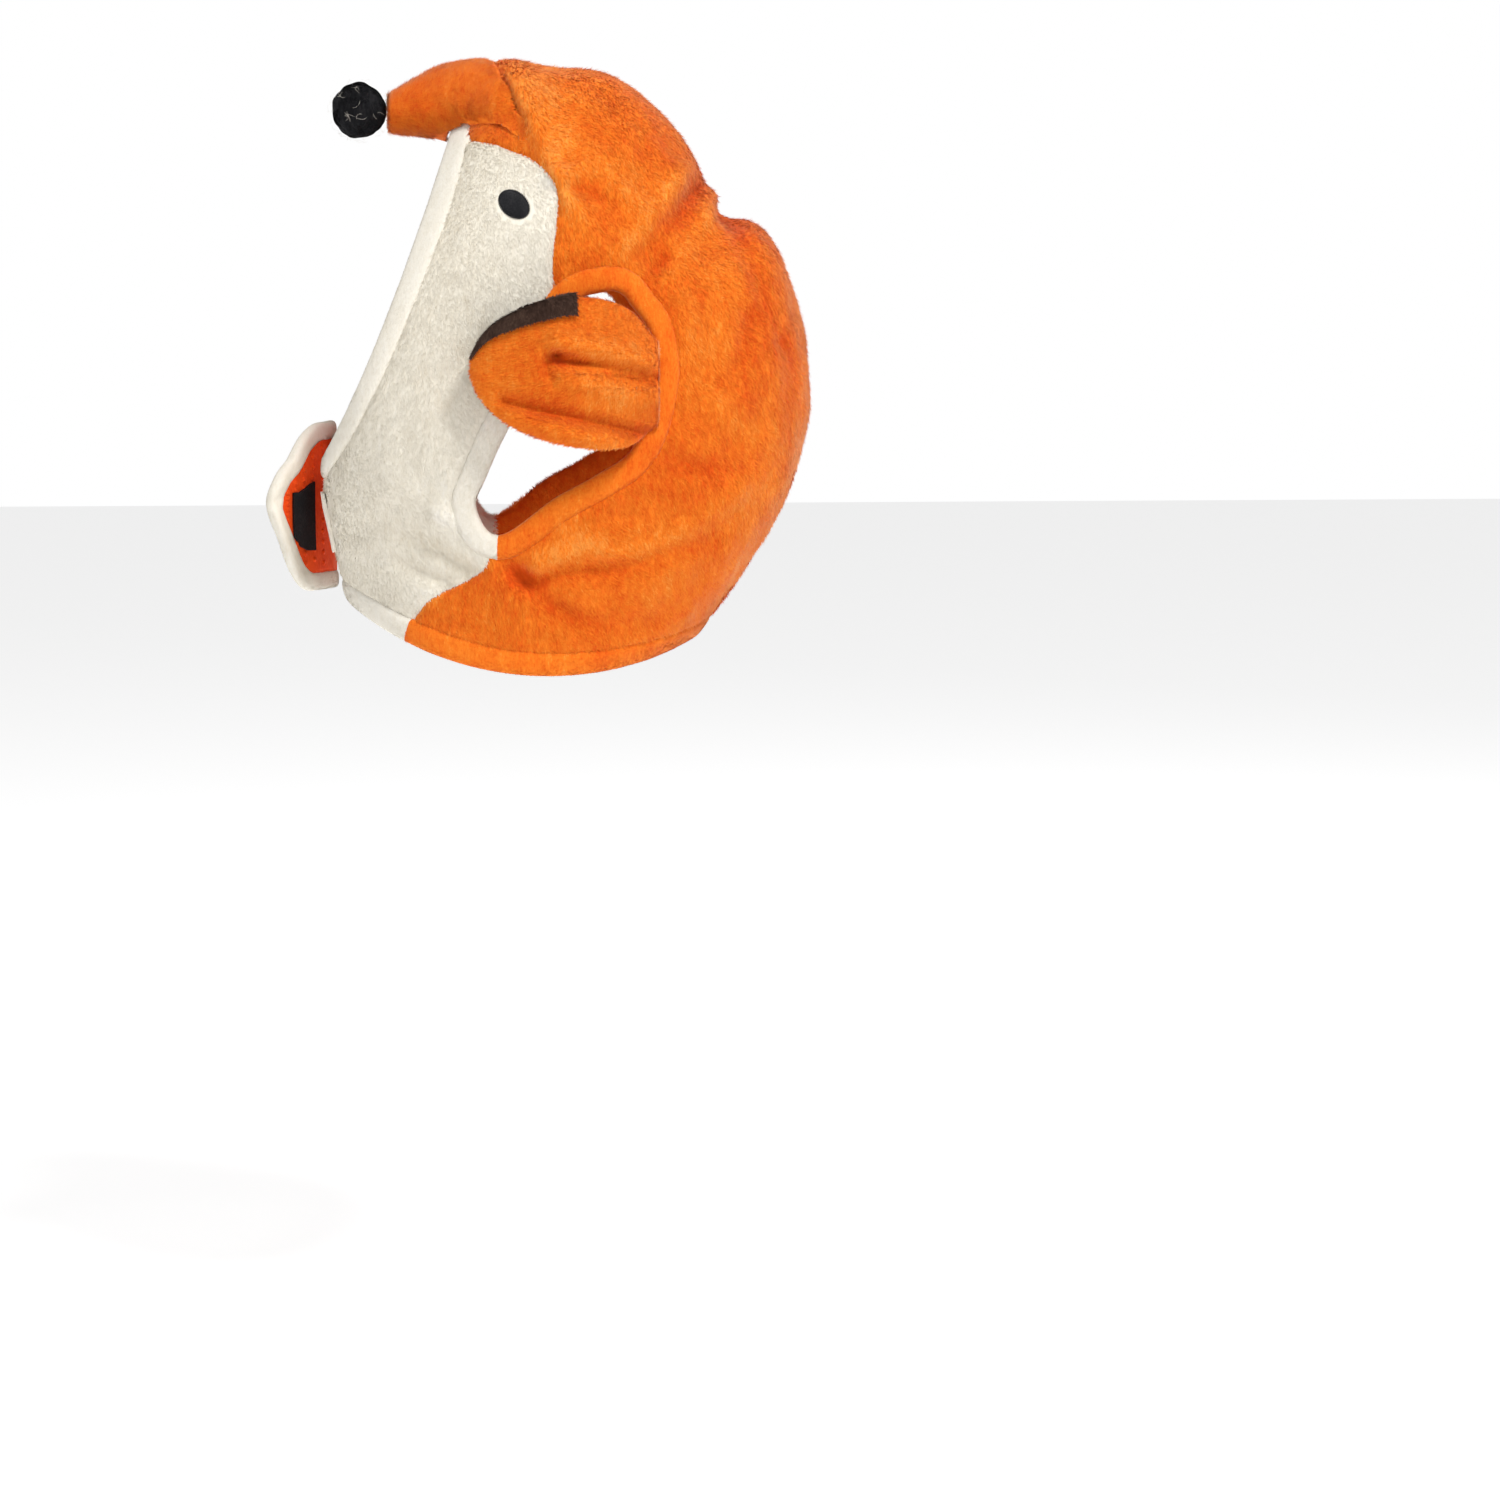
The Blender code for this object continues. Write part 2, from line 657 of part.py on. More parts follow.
def away(path, distance, goal):
    """The path moved across itself, to the side on which the goal lies."""
    one, two = shifted(path, distance), shifted(path, -distance)
    mid = len(path) // 2
    near_one = np.linalg.norm(skin(one[mid]) - skin(goal))
    near_two = np.linalg.norm(skin(two[mid]) - skin(goal))
    return one if near_one < near_two else two


def sorted_clear():
    for obj in list(bpy.data.objects):
        bpy.data.objects.remove(obj, do_unlink=True)


def padded_ear():
    """Rings of the ear from its sewn end to its tip, and the share of each ring."""
    shares = np.linspace(0, 1, 13)
    rows = spline(EAR_ROWS, shares)
    turn = np.linspace(0, 2 * math.pi, 14, endpoint=False)
    c, s = np.cos(turn), np.sin(turn)
    high = np.sign(s) * np.abs(s) ** 0.8
    out = np.sign(c) * np.abs(c) ** 0.7
    side = placed(rows[:, :2])[:, None] + np.stack([0 * high, high], -1)[None] * (
        rows[:, 2] * HOOD_HEIGHT
    )[:, None, None]
    flat_side = side.reshape(-1, 2)
    start = [LEFT_GRID[LEFT_SIDE_TREE.find(Vector((*p, 0.0)))[1]] for p in flat_side]
    under = skin(solved(start, flat_side, lambda at: skin(at)[..., 1:]))[:, 0].reshape(side.shape[:2])
    under = 0.5 * under + 0.5 * under.max(1, keepdims=True)
    half = EAR_THICKNESS / 2 * np.sqrt(np.clip(rows[:, 2] / 0.05, 0.25, 1))
    lift = rows[:, 3][:, None] + relief(side, EAR_FOLDS)
    x = under + lift + out[None] * half[:, None]
    return np.concatenate([x[..., None], side], -1)


def ear_cover(rings):
    """Cover on the back of the ear's outer half, rolled over its upper edge."""
    part = rings[4:]
    mid = part.mean(1, keepdims=True)
    run = np.gradient(part.mean(1), axis=0)
    run /= np.linalg.norm(run, axis=-1, keepdims=True)
    step = np.roll(part, -1, axis=1) - np.roll(part, 1, axis=1)
    n = np.cross(step, np.broadcast_to(run[:, None], step.shape))
    n /= np.linalg.norm(n, axis=-1, keepdims=True)
    n *= np.sign((n * (part - mid)).sum(-1, keepdims=True).sum(1, keepdims=True))
    keep = [2, 3, 4, 5, 6, 7, 8, 9]
    near = part[:, keep] + n[:, keep] * SEAM_GAP * 1.6
    far = part[:, keep] + n[:, keep] * (SEAM_GAP * 1.6 + EAR_TIP_COVER)
    count, size = near.shape[:2]
    tris = []
    for i in range(count - 1):
        for k in range(size - 1):
            a = i * size + k
            tris += [(a, a + 1, a + size + 1), (a, a + size + 1, a + size)]
    return closed_pair(far.reshape(-1, 3), near.reshape(-1, 3), np.array(tris))


def tufted_ball(centre):
    """Ball of short locks fused into one outer form."""
    golden = math.pi * (3 - math.sqrt(5))
    k = np.arange(260)
    z = 1 - 2 * (k + 0.5) / 260
    ring = np.sqrt(1 - z * z)
    spots = np.stack([ring * np.cos(golden * k), ring * np.sin(golden * k), z], -1)
    j = np.arange(48)
    zt = 1 - 2 * (j + 0.5) / 48
    rt = np.sqrt(1 - zt * zt)
    tufts = np.stack([rt * np.cos(golden * j + 1), rt * np.sin(golden * j + 1), zt], -1)
    close = (spots @ tufts.T).max(1)
    lock = np.clip(1 - np.arccos(np.clip(close, -1, 1)) / 0.26, 0, 1)
    radius = POMPOM_DIAMETER / 2 - POMPOM_TUFT * (1 - lock)
    hull = bmesh.new()
    for p in spots:
        hull.verts.new(Vector(p))
    bmesh.ops.convex_hull(hull, input=list(hull.verts))
    hull.verts.ensure_lookup_table()
    hull.verts.index_update()
    faces = [tuple(v.index for v in f.verts) for f in hull.faces]
    order = np.array([tuple(v.co) for v in hull.verts])
    hull.free()
    return order * radius[:, None] + centre, faces


def snout_body():
    """Stuffed snout, seated on the brow with a small gap."""
    shares = np.linspace(0, 1, 12)
    rows = spline(SNOUT_ROWS, shares)
    turn = np.linspace(0, 2 * math.pi, 18, endpoint=False)
    side = placed(rows[:, :2])
    y = np.broadcast_to(side[:, None, 0], (12, 18))
    high = np.sin(turn)[None] * (rows[:, 2] * HOOD_HEIGHT)[:, None]
    wide = np.cos(turn)[None] * rows[:, 3][:, None]
    rings = np.stack([wide, y, side[:, None, 1] + high], -1)
    verts, faces = tube(rings, False, -3.0, 0.0)
    return verts, faces


def plain_object(name, body):
    """Helper object from a body, faces turned out."""
    v, faces = np.asarray(body[0], float), body[1]
    tri = np.array([f[:3] for f in faces])
    if np.einsum("ij,ij->", v[tri[:, 0]], np.cross(v[tri[:, 1]], v[tri[:, 2]])) < 0:
        faces = [f[::-1] for f in faces]
    mesh = bpy.data.meshes.new(name)
    mesh.from_pydata(v.tolist(), [], [[int(i) for i in f] for f in faces])
    made = bpy.data.objects.new(name, mesh)
    bpy.context.scene.collection.objects.link(made)
    return made


def less(body, cutters):
    """The largest piece of a body that is left outside all the cutters."""
    blank = plain_object("blank", body)
    helpers = [plain_object("cutter", c) for c in cutters]
    for helper in helpers:
        knife = blank.modifiers.new("less", "BOOLEAN")
        knife.operation = "DIFFERENCE"
        knife.solver = "EXACT"
        knife.object = helper
    graph = bpy.context.evaluated_depsgraph_get()
    result = bpy.data.meshes.new_from_object(blank.evaluated_get(graph))
    work = bmesh.new()
    work.from_mesh(result)
    bmesh.ops.remove_doubles(work, verts=list(work.verts), dist=0.25)
    bmesh.ops.dissolve_degenerate(work, edges=list(work.edges), dist=0.05)
    bmesh.ops.triangulate(work, faces=list(work.faces))
    left = set(work.verts)
    groups = []
    while left:
        seed = left.pop()
        group, todo = {seed}, [seed]
        while todo:
            for e in todo.pop().link_edges:
                for v in e.verts:
                    if v in left:
                        left.discard(v)
                        group.add(v)
                        todo.append(v)
        groups.append(group)
    groups.sort(key=len)
    for group in groups[:-1]:
        bmesh.ops.delete(work, geom=list(group), context="VERTS")
    work.verts.index_update()
    verts = np.array([tuple(v.co) for v in work.verts])
    faces = [tuple(v.index for v in f.verts) for f in work.faces]
    work.free()
    for obj in (blank, *helpers):
        bpy.data.objects.remove(obj, do_unlink=True)
    bpy.data.meshes.remove(result)
    return verts, faces


def patch_on(spot, length, width, turn, near, far, count=16, square=1.0):
    """Raised patch that follows the skin round a ring coordinate."""
    p = skin(spot)
    n = outward(spot, bare)
    e1 = np.array([0.0, math.cos(turn), math.sin(turn)])
    e1 -= n * (e1 @ n)
    e1 /= np.linalg.norm(e1)
    e2 = np.cross(n, e1)
    ang = np.linspace(0, 2 * math.pi, count, endpoint=False)
    c = np.sign(np.cos(ang)) * np.abs(np.cos(ang)) ** square
    s = np.sign(np.sin(ang)) * np.abs(np.sin(ang)) ** square
    ring = e1 * (c * length / 2)[:, None] + e2 * (s * width / 2)[:, None]
    at = foot(np.vstack([p[None], p + ring * 0.55, p + ring]))
    tris = []
    for k in range(count):
        m = (k + 1) % count
        tris += [(0, 1 + k, 1 + m)]
        tris += [(1 + k, 1 + count + k, 1 + count + m), (1 + k, 1 + count + m, 1 + m)]
    return closed_pair(skin(at, -far), skin(at, -near), np.array(tris))


def flap_sheet(u, v):
    """Inner face of the chin flap: u from its seam to its free edge, v from bottom to top."""
    row = spline(FLAP_ROWS, u)
    y = placed([(FLAP_DEPTH_SHARE, 0.0)])[0, 0] - row[..., 0] * FLAP_REACH
    low, high = row[..., 3] * HOOD_HEIGHT, row[..., 2] * HOOD_HEIGHT
    z = low + (high - low) * v
    cup = 3.0 * np.sin(math.pi * v) * row[..., 0]
    return np.stack([row[..., 1] - 0.8 * cup, y - 0.6 * cup, z], -1)


def flap_normal(u, v):
    e = 1e-3
    n = np.cross(flap_sheet(u, v + e) - flap_sheet(u, v - e), flap_sheet(u + e, v) - flap_sheet(u - e, v))
    n /= np.linalg.norm(n, axis=-1, keepdims=True)
    return n * np.sign(n[..., 0:1] + 1e-9) * -1


def flap_at(at):
    return flap_sheet(at[..., 0], at[..., 1])


def flap_edge():
    """Path of the flap's hem: out along the top, down the free edge and back along the bottom."""
    turn = np.linspace(math.pi / 2, -math.pi / 2, 17)
    u = FLAP_START + (0.9 - FLAP_START) * np.clip(np.cos(turn), 0, 1) ** 0.62
    v = 0.5 + 0.4 * np.sign(np.sin(turn)) * np.abs(np.sin(turn)) ** 0.8
    return np.stack([u, v], -1)


def flap_frames(path):
    p, n = flap_at(path), flap_normal(path[:, 0], path[:, 1])
    run = np.gradient(p, axis=0)
    run /= np.linalg.norm(run, axis=-1, keepdims=True)
    n -= run * (n * run).sum(-1, keepdims=True)
    n /= np.linalg.norm(n, axis=-1, keepdims=True)
    return p, run, n, np.cross(run, n)


def flap_slab(inset, near, far):
    """Slab of the flap inside its hem, between two depths from its inner face."""
    path = flap_edge()
    p, _, _, across = flap_frames(path)
    middle = p.mean(0)
    across *= np.sign(((middle - p) * across).sum(-1, keepdims=True))
    edge = solved(path, p + across * inset, flap_at)
    last = len(edge) - 1
    pairs = last // 2
    rows = [edge[k] + (edge[last - k] - edge[k]) * s for k in range(pairs) for s in np.linspace(0, 1, 5)]
    at = np.array(rows)
    tris = []
    for i in range(pairs - 1):
        for k in range(4):
            q = i * 5 + k
            tris += [(q, q + 1, q + 6), (q, q + 6, q + 5)]
    p, n = flap_at(at), flap_normal(at[:, 0], at[:, 1])
    return closed_pair(p + n * far, p + n * near, np.array(tris))


def flap_patch(near, far):
    """Hook patch on the lining of the flap."""
    mid = FLAP_PATCH_PLACE
    span_u = HOOK_WIDTH / np.linalg.norm(flap_sheet(np.array([1.0]), mid[1]) - flap_sheet(np.array([0.0]), mid[1]))
    span_v = HOOK_LENGTH / np.linalg.norm(flap_sheet(np.array([0.4]), 1.0) - flap_sheet(np.array([0.4]), 0.0))
    u, v = np.meshgrid(
        mid[0] + span_u * np.linspace(-0.5, 0.5, 4), mid[1] + span_v * np.linspace(-0.5, 0.5, 5), indexing="ij"
    )
    tris = []
    for i in range(3):
        for k in range(4):
            q = i * 5 + k
            tris += [(q, q + 1, q + 6), (q, q + 6, q + 5)]
    p, n = flap_sheet(u, v), flap_normal(u, v)
    return closed_pair((p + n * far).reshape(-1, 3), (p + n * near).reshape(-1, 3), np.array(tris))


def flap_hem():
    """Rolled hem along the flap's outline."""
    p, _, n, across = flap_frames(flap_edge())
    turn = (np.arange(HEM_SIDES) + 0.5) * 2 * math.pi / HEM_SIDES
    a = np.sign(np.cos(turn)) * np.abs(np.cos(turn)) ** 0.55 * FLAP_HEM_WIDTH / 2
    b = np.sign(np.sin(turn)) * np.abs(np.sin(turn)) ** 0.8 * HEM_THICKNESS / 2
    mid = p + n * (LINING + SEAM_GAP + PLUSH) / 2
    return tube(mid[:, None] + across[:, None] * a[None, :, None] + n[:, None] * b[None, :, None])


def build():
    sorted_clear()
    frame = bpy.data.objects.new("hood_frame", None)
    bpy.context.scene.collection.objects.link(frame)
    frame["middle_mm"] = [0.0, 0.0, 0.0]

    half = HEM_WIDTH / 2 + 1.3 * SEAM_GAP
    seam = SEAM_GAP * 0.65
    crown_spot, cheek_spot, low_crown, low_cheek = located(
        [(0.75, 0.6), (0.30, 0.6), (0.60, 0.20), (0.15, 0.20)]
    )
    face_path = ring_path(0.0, LEFT_THROAT_END, RIGHT_THROAT_END)
    face_in = away(ring_path(0.0, LEFT_THROAT_END - 0.3, math.radians(196)), half, crown_spot)
    neck_in = away(ring_path(1.0, LEFT_THROAT_END - 0.3, math.radians(196)), half, crown_spot)
    hole = away_closed(resampled(located(OPENING), EDGE_STEP, True), HEM_WIDTH / 2)
    rim = away_closed(hole, half)
    top = int(round(OPENING_TOP * len(hole)))
    upper = resampled(located(UPPER_SEAM), EDGE_STEP)
    lower = resampled(located(LOWER_SEAM), EDGE_STEP)
    up_crown, up_cheek = away(upper, seam, crown_spot), away(upper, seam, cheek_spot)
    down_crown, down_cheek = away(lower, seam, low_crown), away(lower, seam, low_cheek)
    front = np.vstack([rim[-2:], rim[: top + 3]])
    rear = np.vstack([rim[top - 2 :], rim[:3]])
    t_run = np.linspace(-0.03, 1.03, 34)
    seam_angle = seam / (HOOD_WIDTH / 2 * 0.9)
    middle = np.stack([np.full(34, math.pi - seam_angle), t_run], -1)
    extra = fold_lines()
    core = np.array([0.0, *placed([(0.55, 0.52)])[0]])

    crown_loop = outline([face_in, middle, neck_in[::-1], down_crown[::-1], rear[::-1], up_crown[::-1]])
    crown_inner = spread(crown_loop, extra)
    crown = sheet(crown_loop, crown_inner)
    body = thick(*crown, 0.0, PLUSH)
    add("crown_left", body, ORANGE, 0.9, frame)
    add("crown_right", flipped(body), ORANGE, 0.9, frame)

    hole_hem, hole_run = hem_rings(hole, True)
    hole_hem = np.concatenate([hole_hem, hole_hem[:1]])
    hole_run = np.concatenate([hole_run, hole_run[:1]])
    ends = {"left": LEFT_THROAT_END, "right": 2 * math.pi - RIGHT_THROAT_END}
    cutters = []
    neck_paths = {}
    for side, end in ends.items():
        way = flipped if side == "right" else lambda body: body
        throat = np.stack([np.full(12, end), np.linspace(1.03, -0.03, 12)], -1)
        cheek_loop = outline([face_in, up_cheek, front[::-1], down_cheek, neck_in[::-1], throat])
        cheek_inner = spread(cheek_loop, extra)
        cheek = sheet(cheek_loop, cheek_inner)
        add(f"cheek_{side}", way(thick(*cheek, 0.0, PLUSH)), CREAM, 0.9, frame)

        lining_loop = outline([face_in, middle, neck_in[::-1], throat])
        seams = np.vstack([upper, lower])
        f_loop, f_rim = flat(lining_loop), flat(rim)
        f_seams = flat(seams)
        ok = inside(f_seams, f_loop) & ~inside(f_seams, f_rim)
        ok &= (clear_of(f_seams, f_loop) > 2.0) & (clear_of(f_seams, f_rim) > 2.0)
        inner = np.vstack([crown_inner, cheek_inner, seams[ok]])
        lining = sheet(lining_loop, inner, [rim])
        depth = PLUSH + LAYER_GAP
        body = thick(*lining, depth, depth + LINING, True)
        add(f"lining_{side}", way(body), LINING_RED, 0.85, frame)

        at, tris = sheet(lining_loop, inner)
        at = at.copy()
        at[at[:, 0] > math.pi - 1.5 * seam_angle, 0] = math.pi + 0.002
        outer = skin(at, -SEAM_GAP * 1.4)
        cutters.append(way(closed_pair(outer, core + (outer - core) * 0.3, tris)))

        add(f"ear_hem_front_{side}", way(hem_part(hole_hem, hole_run, 0, top)), CREAM, 0.9, frame)
        rear_hem = hem_part(hole_hem, hole_run, top, len(hole))
        add(f"ear_hem_rear_{side}", way(rear_hem), ORANGE, 0.9, frame)

        rings = padded_ear()
        ear = add(f"ear_{side}", way(tube(rings, False, 1.0, 1.0)), ORANGE, 0.9, frame)
        add(f"ear_tip_{side}", way(ear_cover(rings)), BROWN, 0.9, ear)
        spot = located([EYE_PLACE])[0]
        eye = patch_on(spot, EYE_LENGTH, EYE_WIDTH, -EYE_TURN, 0.3, 0.3 + EYE_THICKNESS)
        add(f"eye_{side}", way(eye), BLACK, 0.5, frame)
        neck_paths[side] = ring_path(1.0, end, math.pi)

    neck = np.vstack([neck_paths["left"], mirrored(neck_paths["right"])[-2::-1]])
    neck_hem, neck_run = hem_rings(neck)
    first = int(round(crossing(neck_paths["left"], lower)[0]))
    last = len(neck) - 1 - int(round(crossing(neck_paths["right"], lower)[0]))
    add("neck_hem_left", hem_part(neck_hem, neck_run, 0, first, False), CREAM, 0.9, frame)
    add("neck_hem_rear", hem_part(neck_hem, neck_run, first, last), ORANGE, 0.9, frame)
    add("neck_hem_right", hem_part(neck_hem, neck_run, last, len(neck) - 1, True, False), CREAM, 0.9, frame)

    face_hem, _ = hem_rings(face_path)
    add("face_hem", tube(face_hem), CREAM, 0.9, frame)
    cutters.append(tube(hem_rings(face_path, False, 1.1)[0]))
    edge = skin(np.stack([face_path[:, 0], np.zeros(len(face_path))], -1), -0.2)
    hub, last = len(edge), len(edge) - 1
    plug = np.vstack([edge, edge.mean(0), core])
    sides = [(k, k + 1) for k in range(last)] + [(last, 0)]
    cutters.append((plug, [(a, b, hub) for a, b in sides] + [(b, a, hub + 1) for a, b in sides]))

    centre = np.array([0.0, *placed([POMPOM_PLACE])[0]])
    snout = add("snout", less(snout_body(), cutters), ORANGE, 0.9, frame)
    add("nose_pompom", tufted_ball(centre), BLACK, 0.95, snout)

    inset = FLAP_HEM_WIDTH / 2 + 2.5 * SEAM_GAP
    plush = flap_slab(inset, LINING + SEAM_GAP, LINING + SEAM_GAP + PLUSH)
    flap = add("chin_flap", plush, CREAM, 0.9, frame)
    add("chin_flap_lining", flap_slab(inset, 0.0, LINING), LINING_RED, 0.85, flap)
    add("chin_flap_hem", flap_hem(), CREAM, 0.9, flap)
    add("hook_patch", flap_patch(-0.3 - PATCH_THICKNESS, -0.3), BLACK, 0.8, flap)
    loop_spot = np.array([math.radians(4), 0.45])
    loop = patch_on(loop_spot, HOOK_LENGTH, HOOK_WIDTH, math.pi / 2, 0.3, 0.3 + PATCH_THICKNESS, 12, 0.4)
    add("loop_patch", loop, CREAM, 0.8, frame)


def away_closed(path, distance):
    """A closed path moved outwards across itself."""
    one = shifted(path, distance, True)
    two = shifted(path, -distance, True)
    spread = [np.linalg.norm(skin(p) - skin(p).mean(0), axis=-1).mean() for p in (one, two)]
    return one if spread[0] > spread[1] else two


SEAT_HEIGHT = seat_height()
build()
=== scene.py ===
"""Looks of a plush fox hood for a dog. Lengths are millimetres until a piece is made in metres."""

import math

import bpy
import numpy as np
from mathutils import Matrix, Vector, noise
from mathutils.geometry import delaunay_2d_cdt
from mathutils.kdtree import KDTree


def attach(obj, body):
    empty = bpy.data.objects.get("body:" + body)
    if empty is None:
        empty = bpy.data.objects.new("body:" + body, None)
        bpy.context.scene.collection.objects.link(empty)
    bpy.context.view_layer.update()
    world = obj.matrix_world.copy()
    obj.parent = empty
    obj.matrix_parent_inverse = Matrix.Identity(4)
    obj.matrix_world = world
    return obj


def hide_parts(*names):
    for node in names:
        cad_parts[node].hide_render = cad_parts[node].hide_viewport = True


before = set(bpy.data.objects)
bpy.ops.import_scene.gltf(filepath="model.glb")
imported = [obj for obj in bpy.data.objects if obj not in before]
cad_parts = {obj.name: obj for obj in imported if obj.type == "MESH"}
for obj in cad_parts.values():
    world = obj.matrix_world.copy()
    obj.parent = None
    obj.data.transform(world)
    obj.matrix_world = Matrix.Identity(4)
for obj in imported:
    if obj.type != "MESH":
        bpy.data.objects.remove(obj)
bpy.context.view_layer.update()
if "Cube" in bpy.data.objects:
    for startup in ("Cube", "Camera", "Light"):
        bpy.data.objects.remove(bpy.data.objects[startup], do_unlink=True)

HOOD_DEPTH = 206.0
HOOD_HEIGHT = 260.0
HOOD_WIDTH = 136.0
SEAT_DEPTH_SHARE = 0.57
PLUSH = 2.2
LINING = 1.2
SEAM_GAP = 0.3
LAYER_GAP = 0.65
HEM_WIDTH = 10.5
HEM_THICKNESS = 5.2
HEM_PROUD = 0.9
EAR_THICKNESS = 6.5
EAR_TIP_COVER = 1.5
EYE_LENGTH = 14.0
EYE_WIDTH = 10.0
EYE_THICKNESS = 1.0
FLAP_REACH = 20.0
PATCH_THICKNESS = 1.2
HOOK_LENGTH = 26.0
HOOK_WIDTH = 12.0
FLAP_DEPTH_SHARE = 0.0105
FLAP_START = -0.10
FLAP_HEM_WIDTH = 8.0
FLAP_PATCH_PLACE = (0.42, 0.47)
LEFT_THROAT_END = math.radians(-8)
RIGHT_THROAT_END = math.radians(340)

# Ring sections from face edge to neck rim
# top depth, top height, throat depth, throat height, half width, bow, skew, fullness
SECTIONS = [
    (0.269, 0.900, 0.004, 0.377, 0.68, 0.012, 0.15, 0.05),
    (0.377, 0.969, 0.000, 0.355, 0.76, 0.013, 0.14, 0.06),
    (0.489, 0.994, 0.000, 0.332, 0.84, 0.015, 0.12, 0.08),
    (0.611, 0.978, 0.002, 0.310, 0.91, 0.018, 0.10, 0.10),
    (0.733, 0.892, 0.006, 0.287, 0.96, 0.023, 0.08, 0.10),
    (0.815, 0.779, 0.012, 0.266, 0.99, 0.027, 0.06, 0.10),
    (0.912, 0.732, 0.018, 0.245, 1.00, 0.032, 0.04, 0.10),
    (0.980, 0.610, 0.022, 0.224, 1.00, 0.038, 0.02, 0.10),
    (1.000, 0.469, 0.029, 0.203, 0.98, 0.047, 0.00, 0.08),
    (0.971, 0.340, 0.035, 0.182, 0.94, 0.055, 0.00, 0.06),
    (0.880, 0.206, 0.041, 0.160, 0.90, 0.064, 0.00, 0.04),
    (0.768, 0.081, 0.051, 0.134, 0.86, 0.073, 0.00, 0.02),
]

# Folds of the hood in side view
# start depth, start height, middle depth, middle height, end depth, end height,
# width on the left of the run, width on its right, rise at start, rise at end
FOLDS = [
    (0.372, 0.975, 0.425, 0.915, 0.466, 0.822, 14.0, 4.0, 10.5, 1.8),
    (0.475, 0.815, 0.515, 0.835, 0.555, 0.862, 5.0, 5.0, 2.4, 1.2),
    (0.500, 0.840, 0.540, 0.855, 0.575, 0.872, 4.0, 4.0, -1.6, -0.6),
    (0.800, 0.790, 0.745, 0.720, 0.690, 0.665, 5.0, 5.0, 2.6, 1.0),
    (0.765, 0.800, 0.710, 0.750, 0.645, 0.700, 5.0, 5.0, -2.0, -0.8),
    (0.735, 0.835, 0.680, 0.780, 0.625, 0.725, 5.0, 5.0, 1.6, 0.6),
    (0.820, 0.770, 0.870, 0.680, 0.900, 0.590, 6.0, 6.0, -1.8, -0.6),
    (0.430, 0.215, 0.500, 0.240, 0.640, 0.275, 5.0, 5.0, 2.2, 0.6),
    (0.400, 0.195, 0.520, 0.200, 0.780, 0.250, 5.0, 5.0, -2.0, -0.6),
    (0.380, 0.205, 0.430, 0.170, 0.500, 0.130, 5.0, 5.0, -1.6, -0.6),
    (0.290, 0.205, 0.200, 0.245, 0.135, 0.275, 5.0, 5.0, -1.8, -0.6),
    (0.240, 0.290, 0.290, 0.268, 0.330, 0.220, 5.0, 5.0, 1.8, 0.8),
    (0.245, 0.185, 0.195, 0.200, 0.155, 0.215, 4.0, 4.0, -1.4, -0.6),
]

# Smaller folds, in the same columns
MINOR_FOLDS = [
    (0.690, 0.690, 0.655, 0.655, 0.625, 0.600, 3.5, 3.5, -2.6, -0.6),
    (0.610, 0.720, 0.585, 0.685, 0.570, 0.640, 4.0, 4.0, 1.8, 0.5),
    (0.520, 0.800, 0.555, 0.790, 0.590, 0.770, 4.0, 4.0, -2.2, -0.8),
    (0.500, 0.780, 0.530, 0.740, 0.570, 0.715, 4.5, 4.5, 2.4, 0.6),
    (0.600, 0.800, 0.640, 0.770, 0.660, 0.730, 4.0, 4.0, 1.6, 0.5),
    (0.860, 0.600, 0.840, 0.540, 0.800, 0.500, 4.5, 4.5, -2.0, -0.5),
    (0.930, 0.560, 0.945, 0.500, 0.930, 0.430, 4.0, 4.0, -2.2, -0.6),
    (0.780, 0.470, 0.830, 0.430, 0.900, 0.410, 5.0, 5.0, 1.6, 0.6),
    (0.700, 0.380, 0.780, 0.360, 0.900, 0.370, 4.5, 4.5, -2.0, -0.8),
    (0.560, 0.235, 0.660, 0.245, 0.840, 0.330, 4.5, 4.5, 2.4, 0.8),
    (0.440, 0.150, 0.560, 0.120, 0.700, 0.130, 5.0, 5.0, -1.6, -0.6),
    (0.740, 0.560, 0.720, 0.620, 0.740, 0.680, 5.0, 5.0, 1.4, 0.6),
    (0.330, 0.560, 0.280, 0.520, 0.210, 0.505, 5.0, 5.0, -1.6, -0.5),
    (0.250, 0.470, 0.230, 0.430, 0.180, 0.415, 5.0, 5.0, -1.4, -0.5),
    (0.260, 0.345, 0.210, 0.320, 0.150, 0.330, 5.0, 5.0, 1.4, 0.5),
    (0.210, 0.160, 0.150, 0.190, 0.100, 0.230, 5.0, 5.0, 1.6, 0.5),
]

# Edge of the ear opening in side view, from its lower end up the front and down the rear
FOLDS[3] = (*FOLDS[3][:8], 1.3, 0.9)
FOLDS = [FOLDS[0]] + [(*row[:6], row[6] * 0.85, row[7] * 0.85, row[8] * 1.7, row[9] * 1.7) for row in FOLDS[1:]]
FOLDS += MINOR_FOLDS

OPENING = [
    (0.351, 0.258),
    (0.308, 0.302),
    (0.324, 0.343),
    (0.376, 0.430),
    (0.452, 0.553),
    (0.498, 0.615),
    (0.549, 0.637),
    (0.614, 0.629),
    (0.661, 0.558),
    (0.663, 0.493),
    (0.621, 0.396),
    (0.549, 0.354),
    (0.458, 0.314),
]

OPENING_TOP = 5 / 13

# Seam of cream to orange in side view, above and below the ear opening
UPPER_SEAM = [
    (0.222, 0.886),
    (0.300, 0.880),
    (0.364, 0.868),
    (0.424, 0.848),
    (0.460, 0.822),
    (0.476, 0.790),
    (0.472, 0.740),
    (0.464, 0.685),
    (0.466, 0.610),
    (0.500, 0.560),
]

